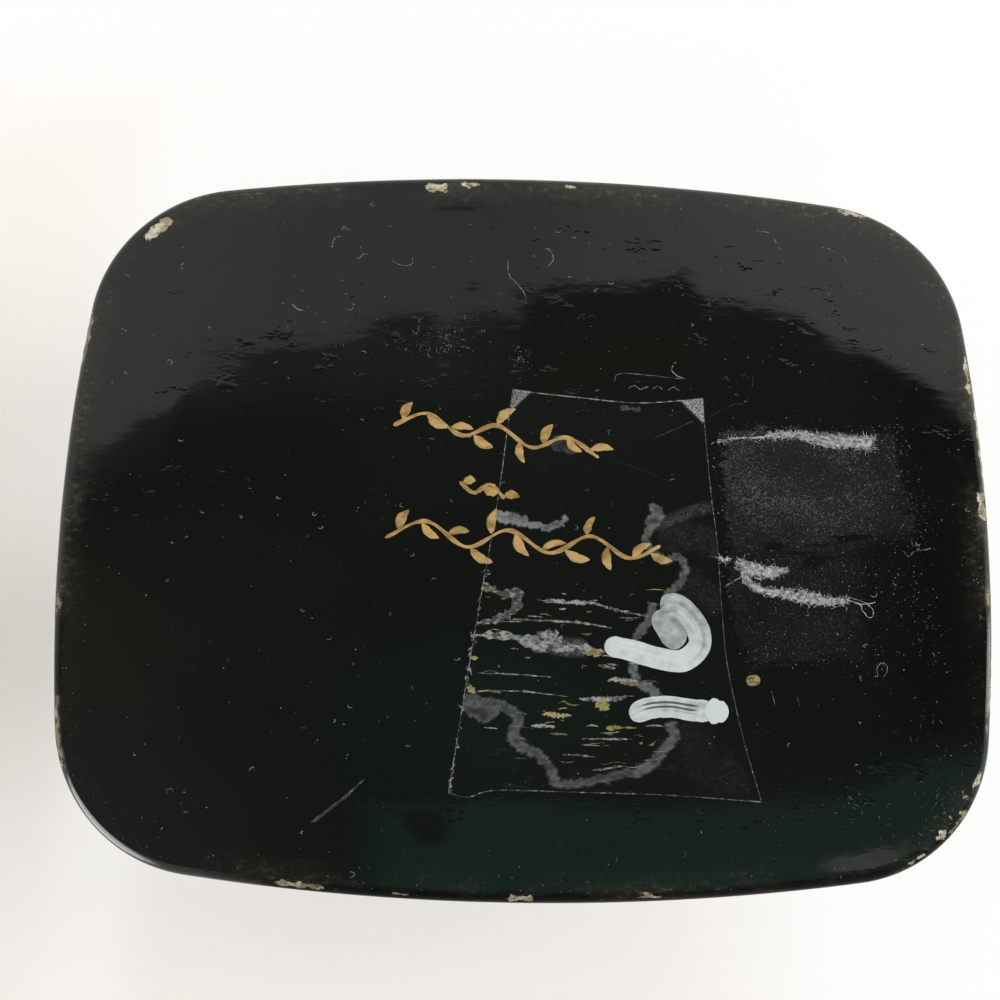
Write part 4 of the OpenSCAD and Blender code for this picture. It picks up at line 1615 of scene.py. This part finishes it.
stageLook = {
    "floorColor": (0.93, 0.925, 0.91),
    "tableColor": (0.965, 0.90, 0.845),
    "floorGlow": (1.0, 0.998, 0.985),
    "glowShare": 0.48,  # how far the floor is lifted for the camera alone
    # The same for the table, by its x in metres, and how much less where it lies in shade
    "tableGlow": [(-0.104, 0.30), (-0.088, 0.44), (-0.072, 0.82), (0.03, 0.90), (0.07, 0.96)],
    "farGlow": 0.95,
    "farY": (-0.115, -0.06),
    "nearShade": 0.40,
    "nearY": (0.02, 0.07),
    "nearX": ((0.02, 0.075), (-0.085, -0.06)),
    "sideShade": 0.24,
    "sideY": (0.016, 0.036),  # middle and reach
    "sideX": (-0.09, -0.06),
    "floorSize": 3000.0,
    "holeInset": 1.2,
    "ceilingGap": 0.4,
    "worldLevel": 0.62,
    "worldColor": (1.0, 0.995, 0.98),
    "background": (1.0, 0.995, 0.98),
    # What the lacquer mirrors: a pale room with a dark arch in it, set out by the slope of the reflected
    # direction away from straight down. The arch begins at this slope in y for each slope in x.
    "arch": [(-0.70, -0.17), (-0.35, -0.225), (-0.31, -0.248), (-0.27, -0.26), (-0.25, -0.293),
             (-0.21, -0.291), (-0.17, -0.30), (-0.13, -0.306), (-0.09, -0.32), (-0.05, -0.323),
             (-0.03, -0.314), (0.01, -0.332), (0.05, -0.333), (0.07, -0.354), (0.15, -0.357),
             (0.19, -0.366), (0.21, -0.342), (0.29, -0.344), (0.33, -0.317), (0.37, -0.316),
             (0.41, -0.31), (0.47, -0.291), (0.70, -0.28)],
    # On the left it is not quite dark yet at its border: how much is missing, and how far in that is made up
    "dimShare": 0.18,
    "dimReach": 0.06,
    # Small dark things beyond it: middle and reach, in slopes
    "islands": [((-0.021, -0.464), (0.026, 0.006)), ((0.075, -0.496), (0.034, 0.007)),
                ((0.004, -0.357), (0.008, 0.004)), ((0.052, -0.349), (0.009, 0.005))],
    "gleams": [((0.375, 0.152), (0.050, 0.013), 0.9)],  # and a pale one within it, with its strength
    "lowGap": ((-0.037, 0.092), (0.022, 0.030)),  # and a gap in the greenish part below
    # Brighter things at the room's sides, mirrored by the rounding of the edge: heading in radians and
    # height of their middle, their reach in both, and their level
    "lamps": [((2.45, -0.18), (0.33, 0.46), 8.0), ((0.02, -0.22), (0.065, 0.46), 3.2)],
    "archSoftness": 0.004,
    "pale": [(-0.70, 0.84), (-0.35, 0.80), (-0.15, 0.68), (0.04, 0.64), (0.14, 0.80), (0.28, 0.98),
             (0.70, 1.04)],
    "paleTint": (0.965, 1.0, 0.96),
    "dark": (0.090, 0.112, 0.080),
    "darkLeft": (0.190, 0.190, 0.160),
    "darkLow": (0.135, 0.310, 0.240),
    "darkRight": (0.045, 0.060, 0.045),
    # Where those three parts of the arch begin or end, in slope x and in slope y
    "leftPart": ((-0.36, -0.10), (-0.20, 0.04)),
    "rightPart": ((0.30, 0.42), (0.02, 0.06)),
    "lowPart": ((-0.12, -0.05), (0.042, 0.068), (0.25, 0.34)),
    "shadeEnd": (0.52, 0.67),
    "shadeSide": (1.1, 1.3),
}


def tableGlow(n, s):
    # Least along the left edge and at the near side, where the box and the hand shade the table
    split = n.add("ShaderNodeSeparateXYZ")
    n.link(n.place(), split.inputs[0])
    x, y = split.outputs["X"], split.outputs["Y"]
    fadeX, startX = s["nearX"]
    near = n.times(n.range(y, *s["nearY"]), n.range(x, *fadeX, 1.0, 0.0), n.range(x, *startX))
    middleY, reachY = s["sideY"]
    away = n.math("ABSOLUTE", n.minus(y, middleY))
    side = n.times(n.range(away, 0.0, reachY, 1.0, 0.0), n.range(x, *s["sideX"], 1.0, 0.0))
    shade = n.plus(n.times(near, s["nearShade"]), n.times(side, s["sideShade"]))
    far = n.range(y, *s["farY"], s["farGlow"], 0.0)
    return n.minus(n.most(n.curve(x, s["tableGlow"]), far), shade)


def oneSided(name, color, s, glowOf=None):
    # Pale on one face and clear from the other, so that a view from either side has one surface to rest on
    material, n, shader = newMaterial(name, color, 0.9)
    geometry = n.add("ShaderNodeNewGeometry")
    path = n.add("ShaderNodeLightPath")
    clear = n.add("ShaderNodeBsdfTransparent")
    glow = n.add("ShaderNodeEmission")
    glow.inputs["Color"].default_value = (*s["floorGlow"], 1)
    lifted = n.add("ShaderNodeMixShader")
    glowShare = glowOf(n, s) if glowOf else s["glowShare"]
    n.link(n.times(path.outputs["Is Camera Ray"], glowShare), lifted.inputs["Fac"])
    n.link(shader.outputs["BSDF"], lifted.inputs[1])
    n.link(glow.outputs["Emission"], lifted.inputs[2])
    pick = n.add("ShaderNodeMixShader")
    n.link(geometry.outputs["Backfacing"], pick.inputs["Fac"])
    n.link(lifted.outputs["Shader"], pick.inputs[1])
    n.link(clear.outputs["BSDF"], pick.inputs[2])
    n.link(pick.outputs["Shader"], n.tree.nodes["Material Output"].inputs["Surface"])
    return material


def makeStage(s):
    # The floor has a hole under the box, hidden by it, so that light and reflections reach the underside
    hole = ring(s["holeInset"])
    away = s["floorSize"] * ringOutward
    rows = [np.column_stack([p, np.zeros(len(p))]) for p in (hole, hole + away * 0.05, hole + away)]
    floor = makePiece("floor", [surface(np.array(rows), False, True, False)],
                      oneSided("floor_paint", s["floorColor"], s), "base", "black_lacquer")
    floor.parent = None
    # The photograph's own table is above the lid, seen only from below
    top = lidHigh.z / mm + s["ceilingGap"]
    half = s["floorSize"]
    corners = np.array([[[-half, -half, top], [half, -half, top]], [[-half, half, top], [half, half, top]]])
    table = makePiece("table", [surface(corners, flip=False)],
                      oneSided("table_paint", s["tableColor"], s, tableGlow), "base", "black_lacquer")
    table.parent = None
    for plane in (floor, table):
        del plane["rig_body"], plane["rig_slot"]
        plane.visible_shadow = False
        plane.visible_glossy = False
    table.visible_diffuse = False


makeStage(stageLook)


def oval(n, across, along, middle, reach):
    # One inside an oval of two values, falling softly to nothing across its border
    offX = n.math("DIVIDE", n.minus(across, middle[0]), reach[0])
    offY = n.math("DIVIDE", n.minus(along, middle[1]), reach[1])
    away = n.plus(n.times(offX, offX), n.times(offY, offY))
    return n.range(away, 0.5, 1.5, 1.0, 0.0)


def makeWorld(s):
    world = bpy.data.worlds.new("studio")
    bpy.context.scene.world = world
    world.use_nodes = True
    n = Nodes(world.node_tree)
    world.node_tree.nodes.clear()
    output = n.add("ShaderNodeOutputWorld")
    path = n.add("ShaderNodeLightPath")
    coords = n.add("ShaderNodeTexCoord")
    split = n.add("ShaderNodeSeparateXYZ")
    n.link(coords.outputs["Generated"], split.inputs[0])
    down = n.most(n.times(split.outputs["Z"], -1.0), 0.001)
    slopeX = n.math("DIVIDE", split.outputs["X"], down)
    slopeY = n.math("DIVIDE", split.outputs["Y"], down)
    fromArch = n.minus(slopeY, n.curve(slopeX, s["arch"]))
    dim = n.times(n.range(slopeX, 0.02, 0.06, s["dimShare"], 0.0),
                 n.range(fromArch, 0.0, s["dimReach"], 1.0, 0.0))
    inside = n.range(fromArch, -s["archSoftness"], s["archSoftness"])
    inside = n.times(inside, n.minus(1.0, dim))
    before = n.range(slopeY, *s["shadeEnd"], 1.0, 0.0)
    (leftX, leftY), (rightX, rightY), (lowX, lowY, lowEnd) = s["leftPart"], s["rightPart"], s["lowPart"]
    toLeft = n.times(n.range(slopeX, *leftX, 1.0, 0.0), n.range(slopeY, *leftY))
    toRight = n.times(n.range(slopeX, *rightX), n.range(slopeY, *rightY, 1.0, 0.0))
    toLow = n.times(n.range(slopeX, *lowX), n.range(slopeY, *lowY), n.range(slopeY, *lowEnd, 1.0, 0.0))
    toLow = n.times(toLow, n.minus(1.0, oval(n, slopeX, slopeY, *s["lowGap"])))
    dark = n.mix(toLow, n.mix(toRight, n.mix(toLeft, s["dark"], s["darkLeft"]), s["darkRight"]), s["darkLow"])
    pale = n.add("ShaderNodeVectorMath", operation="SCALE")
    pale.inputs[0].default_value = s["paleTint"]
    n.link(n.curve(slopeX, s["pale"]), pale.inputs["Scale"])
    sideways = n.range(n.math("ABSOLUTE", slopeX), *s["shadeSide"], 1.0, 0.0)
    shade = n.times(n.times(inside, before), sideways)
    for middle, reach in s["islands"]:
        shade = n.most(shade, oval(n, slopeX, slopeY, middle, reach))
    for middle, reach, share in s["gleams"]:
        left = n.minus(1.0, n.times(oval(n, slopeX, slopeY, middle, reach), share))
        shade = n.times(shade, left)
    seen = n.add("ShaderNodeBackground")
    seen.inputs["Color"].default_value = (*s["background"], 1)
    lit = n.add("ShaderNodeBackground")
    lit.inputs["Color"].default_value = (*s["worldColor"], 1)
    lit.inputs["Strength"].default_value = s["worldLevel"]
    mirrored = n.add("ShaderNodeBackground")
    n.link(n.mix(shade, pale.outputs["Vector"], dark), mirrored.inputs["Color"])
    strength = 1.0
    heading = n.math("ARCTAN2", split.outputs["Y"], split.outputs["X"])
    for middle, reach, level in s["lamps"]:
        lamp = oval(n, heading, split.outputs["Z"], middle, reach)
        strength = n.plus(n.times(lamp, level), strength)
    n.link(strength, mirrored.inputs["Strength"])
    direct = n.most(path.outputs["Is Camera Ray"], path.outputs["Is Transmission Ray"])
    first = n.add("ShaderNodeMixShader")
    n.link(path.outputs["Is Glossy Ray"], first.inputs["Fac"])
    n.link(lit.outputs[0], first.inputs[1])
    n.link(mirrored.outputs[0], first.inputs[2])
    second = n.add("ShaderNodeMixShader")
    n.link(direct, second.inputs["Fac"])
    n.link(first.outputs[0], second.inputs[1])
    n.link(seen.outputs[0], second.inputs[2])
    n.link(second.outputs[0], output.inputs["Surface"])


makeWorld(stageLook)

# Soft boxes: where each stands, its side, and the level that it adds on a surface facing it
softBoxes = [
    {"spot": (900, -700, 900), "side": 700, "level": 0.30},
    {"spot": (-800, -500, 800), "side": 700, "level": 0.16},
    {"spot": (820, -90, -640), "side": 460, "level": 0.42},
]


def makeSoftBox(b, name):
    spot = Vector(b["spot"]) * mm
    lamp = bpy.data.lights.new(name, "AREA")
    lamp.shape = "SQUARE"
    lamp.size = b["side"] * mm
    lamp.energy = b["level"] * math.pi**2 * spot.length_squared
    holder = bpy.data.objects.new(name, lamp)
    holder.location = spot
    holder.rotation_mode = "QUATERNION"
    holder.rotation_quaternion = (-spot).to_track_quat("-Z", "Y")
    holder.visible_glossy = False
    bpy.context.scene.collection.objects.link(holder)


for k, boxValues in enumerate(softBoxes):
    makeSoftBox(boxValues, f"soft_box_{k}")

bpy.context.scene.view_settings.view_transform = "Standard"
print("stage: camera, floor and light")
